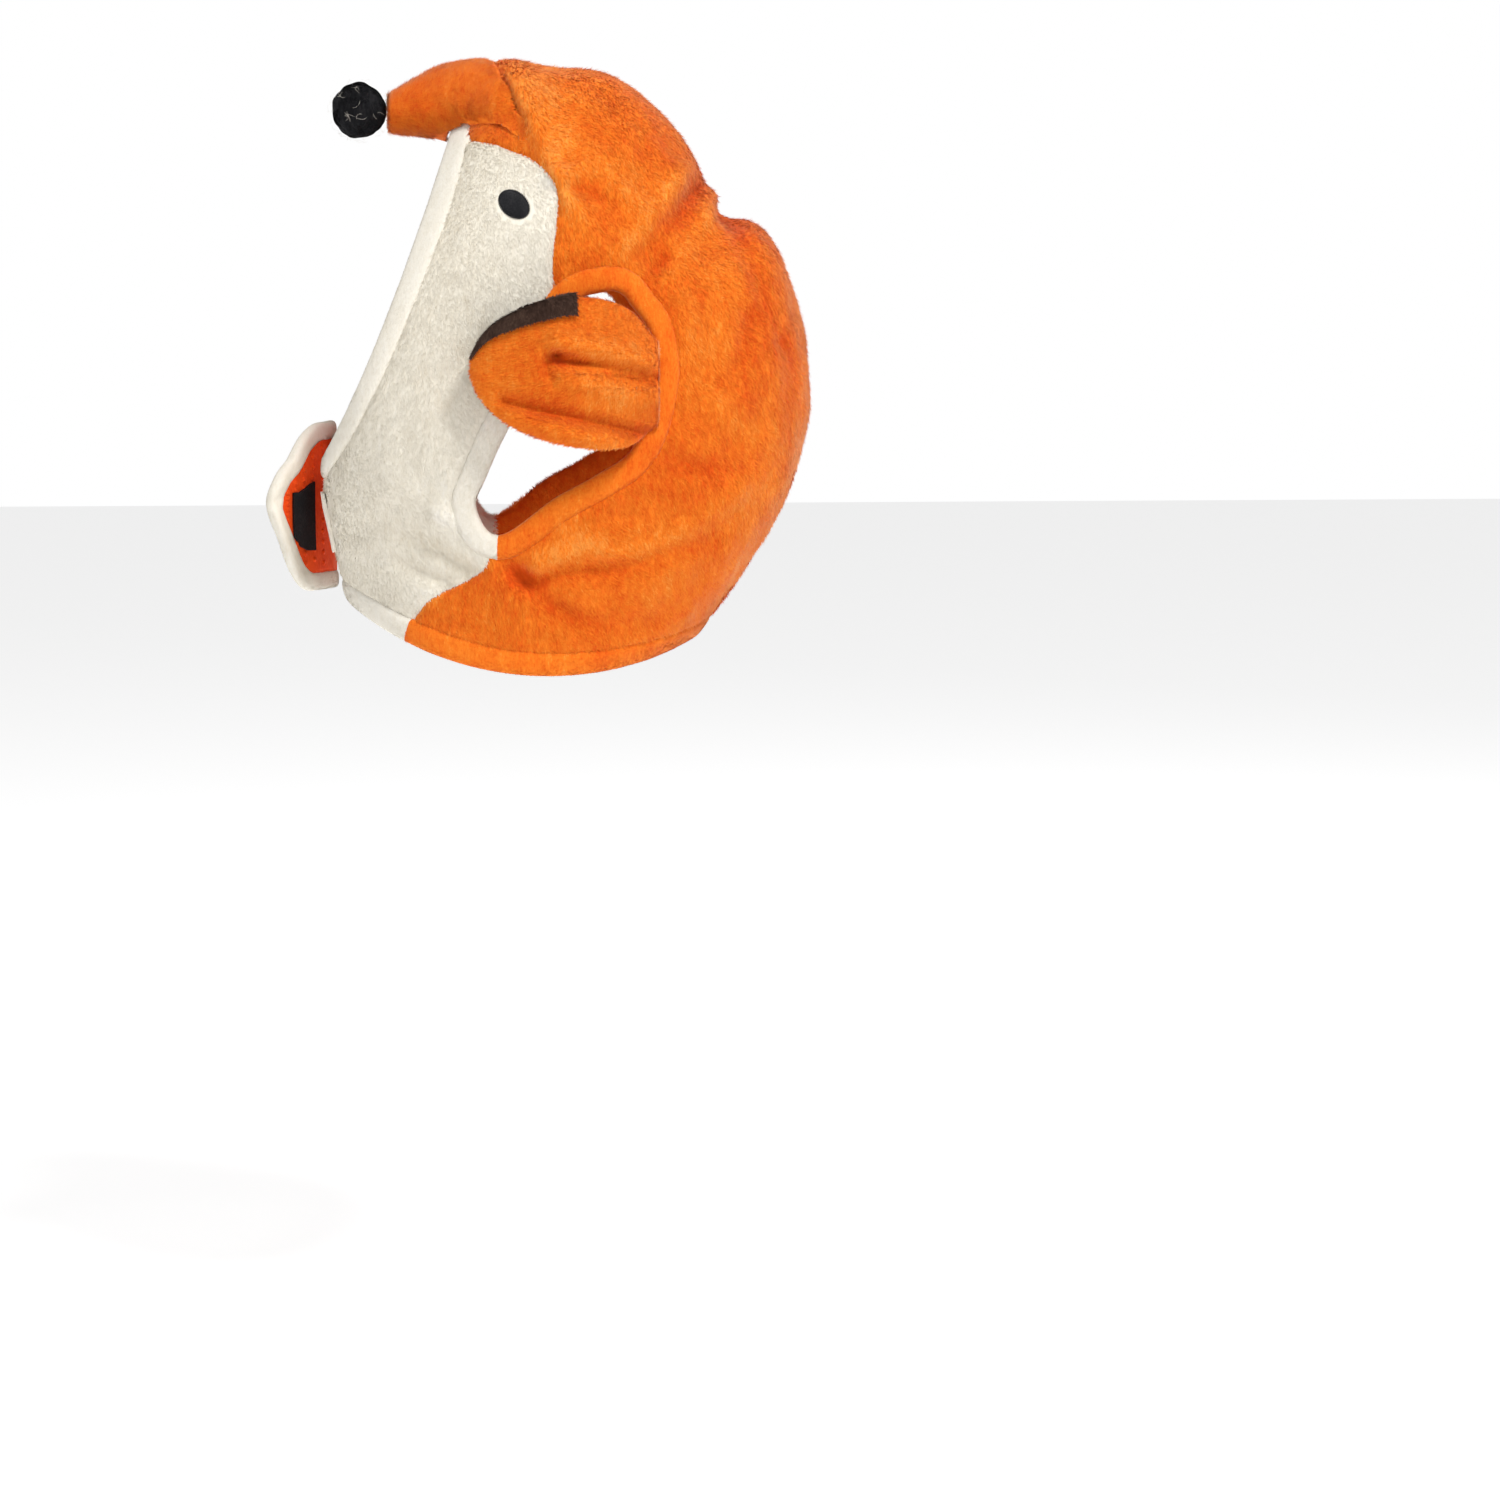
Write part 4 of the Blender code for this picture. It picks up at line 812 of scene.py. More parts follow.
def cloth(
    name,
    tones,
    streak=(1.0, 1.0, 0.4),
    patch=42.0,
    fine=1300.0,
    rough=(0.8, 0.98),
    bump=0.35,
    sheen=0.15,
    tint=(1, 1, 1),
):
    """Plush or felt: colour from large patches, brushed streaks and single hairs, shifted by a per-point attribute
    that carries painted fold shade and highlight where a piece has one.
    """
    made = bpy.data.materials.new(name)
    made.use_nodes = True
    tree = made.node_tree
    nodes, links = tree.nodes, tree.links
    shader = nodes["Principled BSDF"]
    shader.inputs["Sheen Weight"].default_value = sheen
    shader.inputs["Sheen Roughness"].default_value = 0.45
    shader.inputs["Sheen Tint"].default_value = (*tint, 1.0)
    shader.inputs["Specular IOR Level"].default_value = 0.18
    place = nodes.new("ShaderNodeTexCoord")
    stretch = nodes.new("ShaderNodeMapping")
    stretch.inputs["Scale"].default_value = streak
    links.new(place.outputs["Object"], stretch.inputs["Vector"])
    found = []
    for scale, detail in ((patch, 3.0), (patch * 7, 4.0), (fine, 2.0)):
        wave = nodes.new("ShaderNodeTexNoise")
        wave.inputs["Scale"].default_value = scale
        wave.inputs["Detail"].default_value = detail
        wave.inputs["Roughness"].default_value = 0.6
        links.new(stretch.outputs["Vector"], wave.inputs["Vector"])
        found.append(wave.outputs["Fac"])
    total = None
    for value, share in zip(found, (0.34, 0.33, 0.33)):
        part = nodes.new("ShaderNodeMath")
        part.operation = "MULTIPLY_ADD"
        part.inputs[1].default_value = share
        links.new(value, part.inputs[0])
        if total is not None:
            links.new(total, part.inputs[2])
        else:
            part.inputs[2].default_value = 0.0
        total = part.outputs[0]
    # Per-point attribute added to the ramp's input: random mottle, and painted shade in fold creases and painted
    # highlight on fold ridges
    lift = nodes.new("ShaderNodeAttribute")
    lift.attribute_name = "tone_and_shade"
    toned = nodes.new("ShaderNodeMath")
    toned.operation = "ADD"
    links.new(total, toned.inputs[0])
    links.new(lift.outputs["Fac"], toned.inputs[1])
    ramp = nodes.new("ShaderNodeValToRGB")
    spots = np.linspace(0.33, 0.70, len(tones))
    for k, (spot, tone_and_shade) in enumerate(zip(spots, tones)):
        stop = ramp.color_ramp.elements[k] if k < 2 else ramp.color_ramp.elements.new(spot)
        stop.position = spot
        stop.color = (*tone_and_shade, 1.0)
    links.new(toned.outputs[0], ramp.inputs["Fac"])
    links.new(ramp.outputs["Color"], shader.inputs["Base Color"])
    spread = nodes.new("ShaderNodeMapRange")
    spread.inputs["From Min"].default_value = 0.3
    spread.inputs["From Max"].default_value = 0.7
    spread.inputs["To Min"].default_value = rough[1]
    spread.inputs["To Max"].default_value = rough[0]
    links.new(found[2], spread.inputs["Value"])
    links.new(spread.outputs["Result"], shader.inputs["Roughness"])
    if bump:
        relief_node = nodes.new("ShaderNodeBump")
        relief_node.inputs["Strength"].default_value = bump
        relief_node.inputs["Distance"].default_value = 0.0008
        links.new(total, relief_node.inputs["Height"])
        links.new(relief_node.outputs["Normal"], shader.inputs["Normal"])
    return made


# Ramp stops run dark to light; on the orange crown, ears and cream cheeks the darkest stops take painted shade in
# fold creases and the lightest painted highlight on fold ridges, beside random mottle
ORANGE = [(0.74, 0.085, 0.001), (0.82, 0.150, 0.006), (0.88, 0.215, 0.012), (0.93, 0.33, 0.050)]
CREAM = [(0.78, 0.71, 0.58), (0.83, 0.775, 0.66), (0.86, 0.81, 0.70), (0.89, 0.85, 0.765)]
PALE = [(0.80, 0.74, 0.62), (0.86, 0.81, 0.71), (0.90, 0.865, 0.785)]
RED = [(0.62, 0.035, 0.001), (0.78, 0.062, 0.002), (0.85, 0.085, 0.004)]
BROWN = [(0.030, 0.014, 0.009), (0.060, 0.031, 0.021), (0.110, 0.065, 0.045)]
BLACK = [(0.004, 0.004, 0.005), (0.010, 0.010, 0.012), (0.030, 0.029, 0.031)]

orange = cloth("orange plush", ORANGE, sheen=0.5, tint=(1.0, 0.72, 0.42))
orange_nap = cloth("orange nap", ORANGE, bump=0.0, sheen=0.6, tint=(1.0, 0.72, 0.42))
cream = cloth("cream plush", CREAM, sheen=0.1, tint=(1.0, 0.97, 0.92))
cream_nap = cloth("cream nap", CREAM, bump=0.0, sheen=0.1, tint=(1.0, 0.97, 0.92))
pale = cloth("pale hem plush", PALE, sheen=0.1)
pale_nap = cloth("pale hem nap", PALE, bump=0.0, sheen=0.1)
red = cloth("orange dotted lining", RED, rough=(0.6, 0.85), sheen=0.15, tint=(1.0, 0.6, 0.4))
brown = cloth("brown plush", BROWN, sheen=0.12, tint=(0.8, 0.6, 0.5))
brown_nap = cloth("brown nap", BROWN, bump=0.0, sheen=0.12, tint=(0.8, 0.6, 0.5))
felt = cloth("black felt", BLACK, fine=900.0, sheen=0.10)
thread = cloth("black thread", BLACK, fine=2400.0, rough=(0.35, 0.55), sheen=0.05)
hooks = cloth("hook tape", BLACK, fine=3000.0, rough=(0.4, 0.7), sheen=0.0)
loops = cloth("loop tape", PALE, fine=2600.0)
lint = cloth("white lint", PALE, fine=2600.0, bump=0.0)

# Outlines of the panels

STEP = 2.3
half = HEM_WIDTH / 2 + 0.2
seam = 0.10
crown_spot, cheek_spot, low_crown, low_cheek = located(
    [(0.75, 0.6), (0.30, 0.6), (0.60, 0.20), (0.15, 0.20)]
)
EDGE_STEP = 2.4
face_path = ring_path(0.0, LEFT_THROAT_END, RIGHT_THROAT_END)
tuck = half - 2.0
face_in = away(ring_path(0.0, LEFT_THROAT_END - 0.3, math.radians(196)), tuck, crown_spot)
neck_in = away(ring_path(1.0, LEFT_THROAT_END - 0.3, math.radians(196)), tuck, crown_spot)
hole = away_closed(resampled(located(OPENING), EDGE_STEP, True), HEM_WIDTH / 2)
rim = away_closed(hole, tuck)
top = int(round(OPENING_TOP * len(hole)))
upper = resampled(located(UPPER_SEAM), EDGE_STEP)
lower = resampled(located(LOWER_SEAM), EDGE_STEP)
up_crown, up_cheek = away(upper, seam, crown_spot), away(upper, seam, cheek_spot)
down_crown, down_cheek = away(lower, seam, low_crown), away(lower, seam, low_cheek)
front = np.vstack([rim[-4:], rim[: top + 6]])
rear = np.vstack([rim[top - 5 :], rim[:5]])
t_run = np.linspace(-0.03, 1.03, 120)
middle = np.stack([np.full(120, math.pi), t_run], -1)


def clothed(at, tris, far, thickness, dip, wave, lining=False, depth=0.0):
    """Closed body of a panel with a rolled edge and a soft uneven face, and its face alone."""
    base = skin(at, depth, lining)
    normal = outward(at, bare)
    lift = ruffle(base, 19.0, 3.1) * wave + ruffle(base, 7.5, 7.7) * wave * 0.35
    lift = lift * (1 - np.exp(-((far / 6.0) ** 2))) - rolled(far, dip, 1.9)
    face = base + normal * lift[:, None]
    back = skin(at, depth + thickness, lining) + normal * np.minimum(lift, 0.0)[:, None] * 0.3
    verts, faces = closed_pair(face, back, tris)
    return (verts, np.array(faces)), (face, tris)


DOT_SIZE, DOT_RISE, DOT_STEP = 1.45, 0.75, 4.2


def dots(places, ways):
    """Low round bumps on a cloth face, joined in one mesh."""
    across = np.cross(ways, (0.0, 0.62, 0.78))
    across /= np.linalg.norm(across, axis=1, keepdims=True)
    third = np.cross(ways, across)
    turn = np.arange(6) * math.pi / 3
    rings = []
    for size, rise in ((1.0, -0.15), (0.62, 0.72)):
        c, s = np.cos(turn) * DOT_SIZE * size, np.sin(turn) * DOT_SIZE * size
        ring = across[:, None] * c[None, :, None] + third[:, None] * s[None, :, None]
        rings.append(places[:, None] + ring + ways[:, None] * DOT_RISE * rise)
    verts = np.concatenate([*rings, (places + ways * DOT_RISE)[:, None]], axis=1)
    k = np.arange(6)
    m = (k + 1) % 6
    one = np.concatenate(
        [np.stack([k, m, m + 6], 1), np.stack([k, m + 6, k + 6], 1), np.stack([k + 6, m + 6, 0 * k + 12], 1)]
    )
    faces = one[None] + 13 * np.arange(len(places))[:, None, None]
    return verts.reshape(-1, 3), faces.reshape(-1, 3)


crown_loop = outline([face_in, middle, neck_in[::-1], down_crown[::-1], rear[::-1], up_crown[::-1]])
at, tris, far = panel(crown_loop, STEP)
at[np.abs(at[:, 0] - math.pi) < 1e-6, 0] = math.pi
body, face = clothed(at, tris, far, PLUSH, 1.1, 1.5)
body, face = both(body), both(face)
# Painted shade in the fold creases and painted highlight on the fold ridges, for the crown and its nap
tone_and_shade = fold_shade_and_tone(body[0], FOLDS)
crown = piece("crown", body, orange, "orange_plush", "crown_left", "crown_right", tone_and_shade=tone_and_shade)
tone_and_shade = fold_shade_and_tone(face[0], FOLDS)
nap = pile("crown_nap", *face, 136000, orange_nap, "orange_plush", seed=11, tone_and_shade=tone_and_shade)

eye_at = located([EYE_PLACE])[0]
eye_spot = skin(eye_at)
eye_out = outward(eye_at, bare)
eye_long = np.array([0.0, math.cos(-EYE_TURN), math.sin(-EYE_TURN)])
eye_long -= eye_out * (eye_long @ eye_out)
eye_long /= np.linalg.norm(eye_long)
eye_short = np.cross(eye_out, eye_long)

ends = {"left": LEFT_THROAT_END, "right": 2 * math.pi - RIGHT_THROAT_END}
lining_halves = []
neck_paths = {}
for k, (side, end) in enumerate(ends.items()):
    way = flipped if side == "right" else lambda body: body
    throat = np.stack([np.full(40, end), np.linspace(1.03, -0.03, 40)], -1)
    cheek_loop = outline([face_in, up_cheek, front[::-1], down_cheek, neck_in[::-1], throat])
    body, face = clothed(*panel(cheek_loop, STEP), PLUSH, 1.1, 0.8)
    # Painted shade in the fold creases and painted highlight on the fold ridges, for the cheek and its nap
    tone_and_shade = fold_shade_and_tone(body[0], FOLDS)
    cheek = piece(f"cheek_panel_{side}", way(body), cream, "cream_plush", f"cheek_{side}", tone_and_shade=tone_and_shade)
    tone_and_shade = fold_shade_and_tone(face[0], FOLDS)
    verts, tris = face
    rel = verts[tris].mean(1) - eye_spot
    off = np.hypot(rel @ eye_long / (EYE_LENGTH / 2 + 1.6), rel @ eye_short / (EYE_WIDTH / 2 + 1.6))
    face = way((verts, tris[off > 1]))
    nap = pile(
        f"cheek_nap_{side}", *face, 50000, cream_nap, "cream_plush", 1.7, lean=17, seed=21 + k, tone_and_shade=tone_and_shade, vary=0.02
    )
    lining_loop = outline([face_in, middle, neck_in[::-1], throat])
    at, tris, far = panel(lining_loop, 3.4, [rim])
    at[np.abs(at[:, 0] - math.pi) < 1e-6, 0] = math.pi
    depth = PLUSH + LAYER_GAP
    body, _ = clothed(at, tris, far, LINING, 0.0, 0.25, True, depth)
    lining_halves.append(way(body))
    spots = lattice(lining_loop, DOT_STEP, [rim])
    places = skin(spots, depth + LINING, True)
    bumps = dots(places, -outward(spots, bare))
    piece(f"lining_dots_{side}", way(bumps), red, "orange_lining", shut=False)
    neck_paths[side] = ring_path(1.0, end, math.pi)

left, right = lining_halves
body = welded(
    np.concatenate([left[0], right[0]]), np.concatenate([left[1], np.asarray(right[1]) + len(left[0])])
)
lining = piece("lining", body, red, "orange_lining", "lining_left", "lining_right")


def hem_rings(path, closed=False, pucker=0.26, seed=2.0, extra=0.0):
    """Cross-sections of a rolled hem of plush along a path on the skin, with extra width inwards."""
    _, run, n, across = frames(path, closed)
    mid = skin(path) + n * (HEM_PROUD - HEM_THICKNESS / 2)
    turn = (np.arange(24) + 0.5) * 2 * math.pi / 24
    u = np.sign(np.cos(turn)) * np.abs(np.cos(turn)) ** 0.72 * HEM_WIDTH / 2
    v = np.sign(np.sin(turn)) * np.abs(np.sin(turn)) ** 0.85 * HEM_THICKNESS / 2
    inward = np.sign(((bare(path + (0, 0.01)) - bare(path)) * across).sum(-1))
    wide = np.where(u[None] * inward[:, None] > 0, 1 + np.reshape(extra, (-1, 1)) / (HEM_WIDTH / 2), 1.0)
    u = u[None] * wide
    swell = 1 + pucker * 0.5 * (ruffle(mid, 9.0, seed) + 0.5 * ruffle(mid, 4.0, seed + 3))
    rings = mid[:, None] + across[:, None] * u[..., None]
    rings = rings + n[:, None] * v[None, :, None] * swell[:, None, None]
    return rings


def hem(name, rings, look, nap, slot, node, count, seed):
    """A rolled hem and its nap."""
    body = roll(rings)
    made = piece(name, body, look, slot, node)
    pile(f"{name}_nap", *body, count, nap, slot, 2.3, 0.5, 33, seed=seed)
    return made


turned = np.minimum(face_path[:, 0], 2 * math.pi - face_path[:, 0])
extra = 3.6 * np.exp(-(((turned - 2.25) / 0.75) ** 2))
hem("face_roll", hem_rings(face_path, extra=extra), pale, pale_nap, "cream_plush", "face_hem", 40000, 31)
ring = hem_rings(hole, True, seed=5.0)
ring = np.concatenate([ring, ring[:1]])
for k, side in enumerate(ends):
    way = (lambda r: r * (-1, 1, 1)) if side == "right" else (lambda r: r)
    one, two = way(ring[: top + 1]), way(ring[top:])
    hem(f"ear_roll_front_{side}", one, pale, pale_nap, "cream_plush", f"ear_hem_front_{side}", 24000, 41 + k)
    hem(f"ear_roll_rear_{side}", two, orange, orange_nap, "orange_plush", f"ear_hem_rear_{side}", 26000, 51 + k)

neck = np.vstack([neck_paths["left"], mirrored(neck_paths["right"])[-2::-1]])
ring = hem_rings(neck, seed=8.0)
first = int(round(crossing(neck_paths["left"], lower)[0]))
last = len(neck) - 1 - int(round(crossing(neck_paths["right"], lower)[0]))
hem("neck_roll_left", ring[: first + 1], pale, pale_nap, "cream_plush", "neck_hem_left", 12000, 61)
hem("neck_roll_rear", ring[first : last + 1], orange, orange_nap, "orange_plush", "neck_hem_rear", 34000, 62)
hem("neck_roll_right", ring[last:], pale, pale_nap, "cream_plush", "neck_hem_right", 12000, 63)

# Ears


def padded_ear(rows_count, around):
    """Rings of the ear from its sewn end to its tip."""
    shares = np.linspace(-0.06, 1, rows_count)
    rows = spline(EAR_ROWS, shares)
    turn = np.linspace(0, 2 * math.pi, around, endpoint=False)
    c, s = np.cos(turn), np.sin(turn)
    high = np.sign(s) * np.abs(s) ** 0.8
    out = np.sign(c) * np.abs(c) ** 0.7
    side = placed(rows[:, :2])[:, None] + np.stack([0 * high, high], -1)[None] * (
        rows[:, 2] * HOOD_HEIGHT
    )[:, None, None]
    flat_side = side.reshape(-1, 2)
    start = [LEFT_GRID[LEFT_SIDE_TREE.find(Vector((*p, 0.0)))[1]] for p in flat_side]
    under = skin(solved(start, flat_side, lambda at: skin(at)[..., 1:]))[:, 0].reshape(side.shape[:2])
    under = 0.5 * under + 0.5 * under.max(1, keepdims=True)
    half = EAR_THICKNESS / 2 * np.sqrt(np.clip(rows[:, 2] / 0.05, 0.25, 1))
    lift = rows[:, 3][:, None] + relief(side, EAR_FOLDS)
    x = under + lift + out[None] * half[:, None]
    return np.concatenate([x[..., None], side], -1)


def ear_cover(rings, first, low, high):
    """Cover on the back of the ear's outer half, rolled over its upper edge."""
    part = rings[first:]
    mid = part.mean(1, keepdims=True)
    run = np.gradient(part.mean(1), axis=0)
    run /= np.linalg.norm(run, axis=-1, keepdims=True)
    step = np.roll(part, -1, axis=1) - np.roll(part, 1, axis=1)
    n = np.cross(step, np.broadcast_to(run[:, None], step.shape))
    n /= np.linalg.norm(n, axis=-1, keepdims=True)
    n *= np.sign((n * (part - mid)).sum(-1, keepdims=True).sum(1, keepdims=True))
    near = part[:, low : high + 1] + n[:, low : high + 1] * SEAM_GAP * 1.2
    far = part[:, low : high + 1] + n[:, low : high + 1] * (SEAM_GAP * 1.6 + EAR_TIP_COVER)
    count, size = near.shape[:2]
    tris = grid_faces(count, size)
    verts, faces = closed_pair(far.reshape(-1, 3), near.reshape(-1, 3), tris)
    return (verts, np.array(faces)), (far.reshape(-1, 3), tris)


EAR_AROUND = 70
rings = padded_ear(61, EAR_AROUND)
body = roll(rings, 0.4)
cover, cover_face = ear_cover(rings, 24, 9, 45)
for k, side in enumerate(ends):
    way = flipped if side == "right" else lambda body: body
    # Painted shade in the ear's fold creases and painted highlight on its ridges, at 0.6 strength, for the pad and
    # its nap
    tone_and_shade = 0.6 * fold_shade_and_tone(body[0], EAR_FOLDS)
    ear = piece(f"ear_pad_{side}", way(body), orange, "orange_plush", f"ear_{side}", tone_and_shade=tone_and_shade)
    pile(
        f"ear_nap_{side}",
        *way(body),
        36000,
        orange_nap,
        "orange_plush",
        2.0,
        sweep=(0, -0.9, -0.3),
        seed=71 + k,
        tone_and_shade=tone_and_shade,
    )
    piece(f"ear_tip_cover_{side}", way(cover), brown, "brown_plush", f"ear_tip_{side}")
    pile(f"ear_tip_nap_{side}", *way(cover_face), 14000, brown_nap, "brown_plush", 1.8, seed=81 + k)


# Snout and pompom


def remeshed(node, voxel, rounds):
    """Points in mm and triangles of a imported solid, evenly meshed and softened."""
    copy = bpy.data.objects.new("blank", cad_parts[node].data.copy())
    bpy.context.scene.collection.objects.link(copy)
    remesh = copy.modifiers.new("even", "REMESH")
    remesh.mode = "VOXEL"
    remesh.voxel_size = voxel
    smooth = copy.modifiers.new("soft", "SMOOTH")
    smooth.factor = 0.5
    smooth.iterations = rounds
    graph = bpy.context.evaluated_depsgraph_get()
    mesh = bpy.data.meshes.new_from_object(copy.evaluated_get(graph))
    mesh.calc_loop_triangles()
    verts = np.empty(len(mesh.vertices) * 3)
    mesh.vertices.foreach_get("co", verts)
    tris = np.empty(len(mesh.loop_triangles) * 3, np.int32)
    mesh.loop_triangles.foreach_get("vertices", tris)
    bpy.data.objects.remove(copy, do_unlink=True)
    bpy.data.meshes.remove(mesh)
    return verts.reshape(-1, 3) * 1000 + (0, 0, SEAT_HEIGHT), tris.reshape(-1, 3)


verts, tris = remeshed("snout", 0.0014, 7)
normals = corner_normals(verts, tris)
gap = np.array([SKIN_TREE.find(Vector(p))[2] for p in verts])
free = np.clip((gap - 1.5) / 4, 0, 1)
swell = ruffle(verts, 15.0, 4.4) * 0.8 + ruffle(verts, 6.0, 2.2) * 0.35
verts = verts + normals * (swell * free)[:, None]


def near_spot(points, share, reach):
    """Weight from 1 at a side view place to 0 away from it."""
    return np.exp(-(((points[:, 1:] - placed(share)) ** 2).sum(1)) / reach**2)


TOE, HOLLOW, BROW = (0.428, 0.889), (0.400, 0.915), (0.385, 0.985)
toe = near_spot(verts, TOE, 11.0)
low = np.flatnonzero(toe > 0.03)
feet = skin(foot(verts[low]))
verts[low] += (feet - verts[low]) * (toe[low] * np.clip(1 - 0.6 / np.maximum(gap[low], 0.6), 0, 1))[:, None]
side = np.clip(np.abs(verts[:, 0]) / 14, 0, 1) * (1 - toe)
verts -= normals * (3.2 * near_spot(verts, HOLLOW, 9.0) * side)[:, None]
verts[:, 2] += 3.2 * near_spot(verts, BROW, 17.0) * np.clip(normals[:, 2] * 2, 0, 1)
snout = piece("snout_pad", (verts, tris), orange, "orange_plush", "snout")
shown = (gap[tris] > 2.2).all(1)
pile("snout_nap", verts, tris[shown], 40000, orange_nap, "orange_plush", sweep=(0, 1, 0.1), seed=91)


def ball(radius, rows, centre):
    """Even round of points, closed at its poles."""
    up = np.linspace(0, math.pi, rows)
    turn = np.linspace(0, 2 * math.pi, 2 * rows, endpoint=False)
    u, v = np.meshgrid(up, turn, indexing="ij")
    points = np.stack([np.sin(u) * np.cos(v), np.sin(u) * np.sin(v), np.cos(u)], -1).reshape(-1, 3)
    body = welded(points * radius, grid_faces(rows, 2 * rows, True))
    return body[0] + centre, body[1]


centre = np.array([0.0, *placed([POMPOM_PLACE])[0]])
verts, tris = ball(11.2, 40, centre)
out = (verts - centre) / np.linalg.norm(verts - centre, axis=1, keepdims=True)
verts = verts + out * (ruffle(verts, 4.0, 1.5) * 0.8)[:, None]
piece("pompom", (verts, tris), felt, "black_felt", "nose_pompom")
pile("pompom_locks", verts, tris, 30000, felt, "black_felt", 2.9, 0.5, 55, (0, 0.2, -0.4), 95, 1.2)


def strand(points, width, sides=6):
    """Thin round strand through points, as rings."""
    run = np.gradient(points, axis=0)
    run /= np.linalg.norm(run, axis=1, keepdims=True)
    side = np.cross(run, (0.31, 0.52, 0.79))
    side /= np.linalg.norm(side, axis=1, keepdims=True)
    third = np.cross(run, side)
    turn = np.linspace(0, 2 * math.pi, sides, endpoint=False)
    ring = side[:, None] * np.cos(turn)[None, :, None] + third[:, None] * np.sin(turn)[None, :, None]
    size = width / 2 * np.sin(np.linspace(0.25, math.pi - 0.25, len(points))) ** 0.4
    return points[:, None] + ring * size[:, None, None]


def strands(runs, width, sides=6):
    """Many strands as one closed body each, joined in one mesh."""
    verts, faces, start = [], [], 0
    for points in runs:
        rings = strand(points, width, sides)
        body = roll(rings, 0.5)
        verts.append(body[0])
        faces.append(body[1] + start)
        start += len(body[0])
    return np.concatenate(verts), np.concatenate(faces)


rng = np.random.default_rng(7)
runs = []
for _ in range(70):
    way = rng.normal(size=3)
    way /= np.linalg.norm(way)
    along = np.cross(way, rng.normal(size=3))
    along /= np.linalg.norm(along)
    bend = np.cross(way, along)
    s = np.linspace(-1, 1, 7)[:, None]
    length, curl = rng.uniform(0.8, 2.6), rng.uniform(-1.4, 1.4)
    points = way * 13.2 + along * s * length + bend * curl * s * s
    points = points / np.linalg.norm(points, axis=1, keepdims=True) * (13.0 + 0.5 * np.sin(3 * s))
    runs.append(points + centre)
piece("pompom_lint", strands(runs, 0.07, 4), lint, "black_felt")

# Eyes: flat satin stitches over a low oval


def eye_threads():
    p, e1, e2 = eye_spot, eye_long, eye_short
    runs = []
    for s in np.linspace(-0.95, 0.95, 30):
        reach = EYE_WIDTH / 2 * math.sqrt(1 - s * s)
        line = p + e1 * s * EYE_LENGTH / 2 + e2 * np.linspace(-reach, reach, 13)[:, None]
        feet = foot(line)
        arch = 0.35 + 0.75 * np.sin(np.linspace(0, math.pi, 13)) ** 0.5 * math.sqrt(1 - s * s) ** 0.5
        runs.append(skin(feet) + outward(feet, bare) * arch[:, None])
    edge = []
    for turn in np.linspace(0, 2 * math.pi, 46, endpoint=False):
        across = e1 * math.cos(turn) * EYE_LENGTH / 2 + e2 * math.sin(turn) * EYE_WIDTH / 2
        step = e2 * math.cos(turn) * EYE_WIDTH / 2 - e1 * math.sin(turn) * EYE_LENGTH / 2
        line = p + across * np.linspace(0.90, 1.07, 5)[:, None] + step * 0.10 * np.linspace(-1, 1, 5)[:, None]
        feet = foot(line)
        edge.append(skin(feet) + outward(feet, bare) * (0.5 + 0.25 * np.sin(np.linspace(0, math.pi, 5)))[:, None])
    return strands(runs, 0.72, 6), strands(edge, 0.55, 5)


satin, border = eye_threads()
body = (np.concatenate([satin[0], border[0]]), np.concatenate([satin[1], border[1] + len(satin[0])]))
for side in ends:
    way = flipped if side == "right" else lambda body: body
    piece(f"eye_stitches_{side}", way(body), thread, "black_thread", f"eye_{side}")

# Chin flap

path = flap_edge()
fine_turn = np.linspace(0, 1, 130)
path = spline(path, fine_turn)
p, _, n, across = flap_frames(path)
turn = (np.arange(24) + 0.5) * 2 * math.pi / 24
a = np.sign(np.cos(turn)) * np.abs(np.cos(turn)) ** 0.62 * FLAP_HEM_WIDTH / 2
b = np.sign(np.sin(turn)) * np.abs(np.sin(turn)) ** 0.8 * HEM_THICKNESS / 2
mid = p + n * (LINING + SEAM_GAP + PLUSH) / 2
swell = 1 + 0.12 * ruffle(mid, 7.0, 9.0)
ring = mid[:, None] + across[:, None] * a[None, :, None] + n[:, None] * (b[None] * swell[:, None])[..., None]
body = roll(ring)
piece("flap_roll", body, pale, "cream_plush", "chin_flap_hem")
pile("flap_roll_nap", *body, 18000, pale_nap, "cream_plush", 1.9, 0.45, 30, seed=101)


def flap_slab(inset, near, far, wave):
    """Slab of the flap inside its hem, between two depths from its inner face."""
    path = spline(flap_edge(), np.linspace(0, 1, 81))
    p, _, _, across = flap_frames(path)
    across *= np.sign(((p.mean(0) - p) * across).sum(-1, keepdims=True))
    edge = solved(path, p + across * inset, flap_at)
    pairs = len(edge) // 2
    share = np.linspace(0, 1, 25)[:, None]
    at = np.concatenate([edge[k] + (edge[len(edge) - 1 - k] - edge[k]) * share for k in range(pairs)])
    tris = grid_faces(pairs, 25)
    p, n = flap_at(at), flap_normal(at[:, 0], at[:, 1])
    lift = ruffle(p, 12.0, 6.0) * wave
    outer, inner = p + n * (far + lift[:, None]), p + n * near
    verts, faces = closed_pair(outer, inner, tris)
    return (verts, np.array(faces)), (outer, tris)


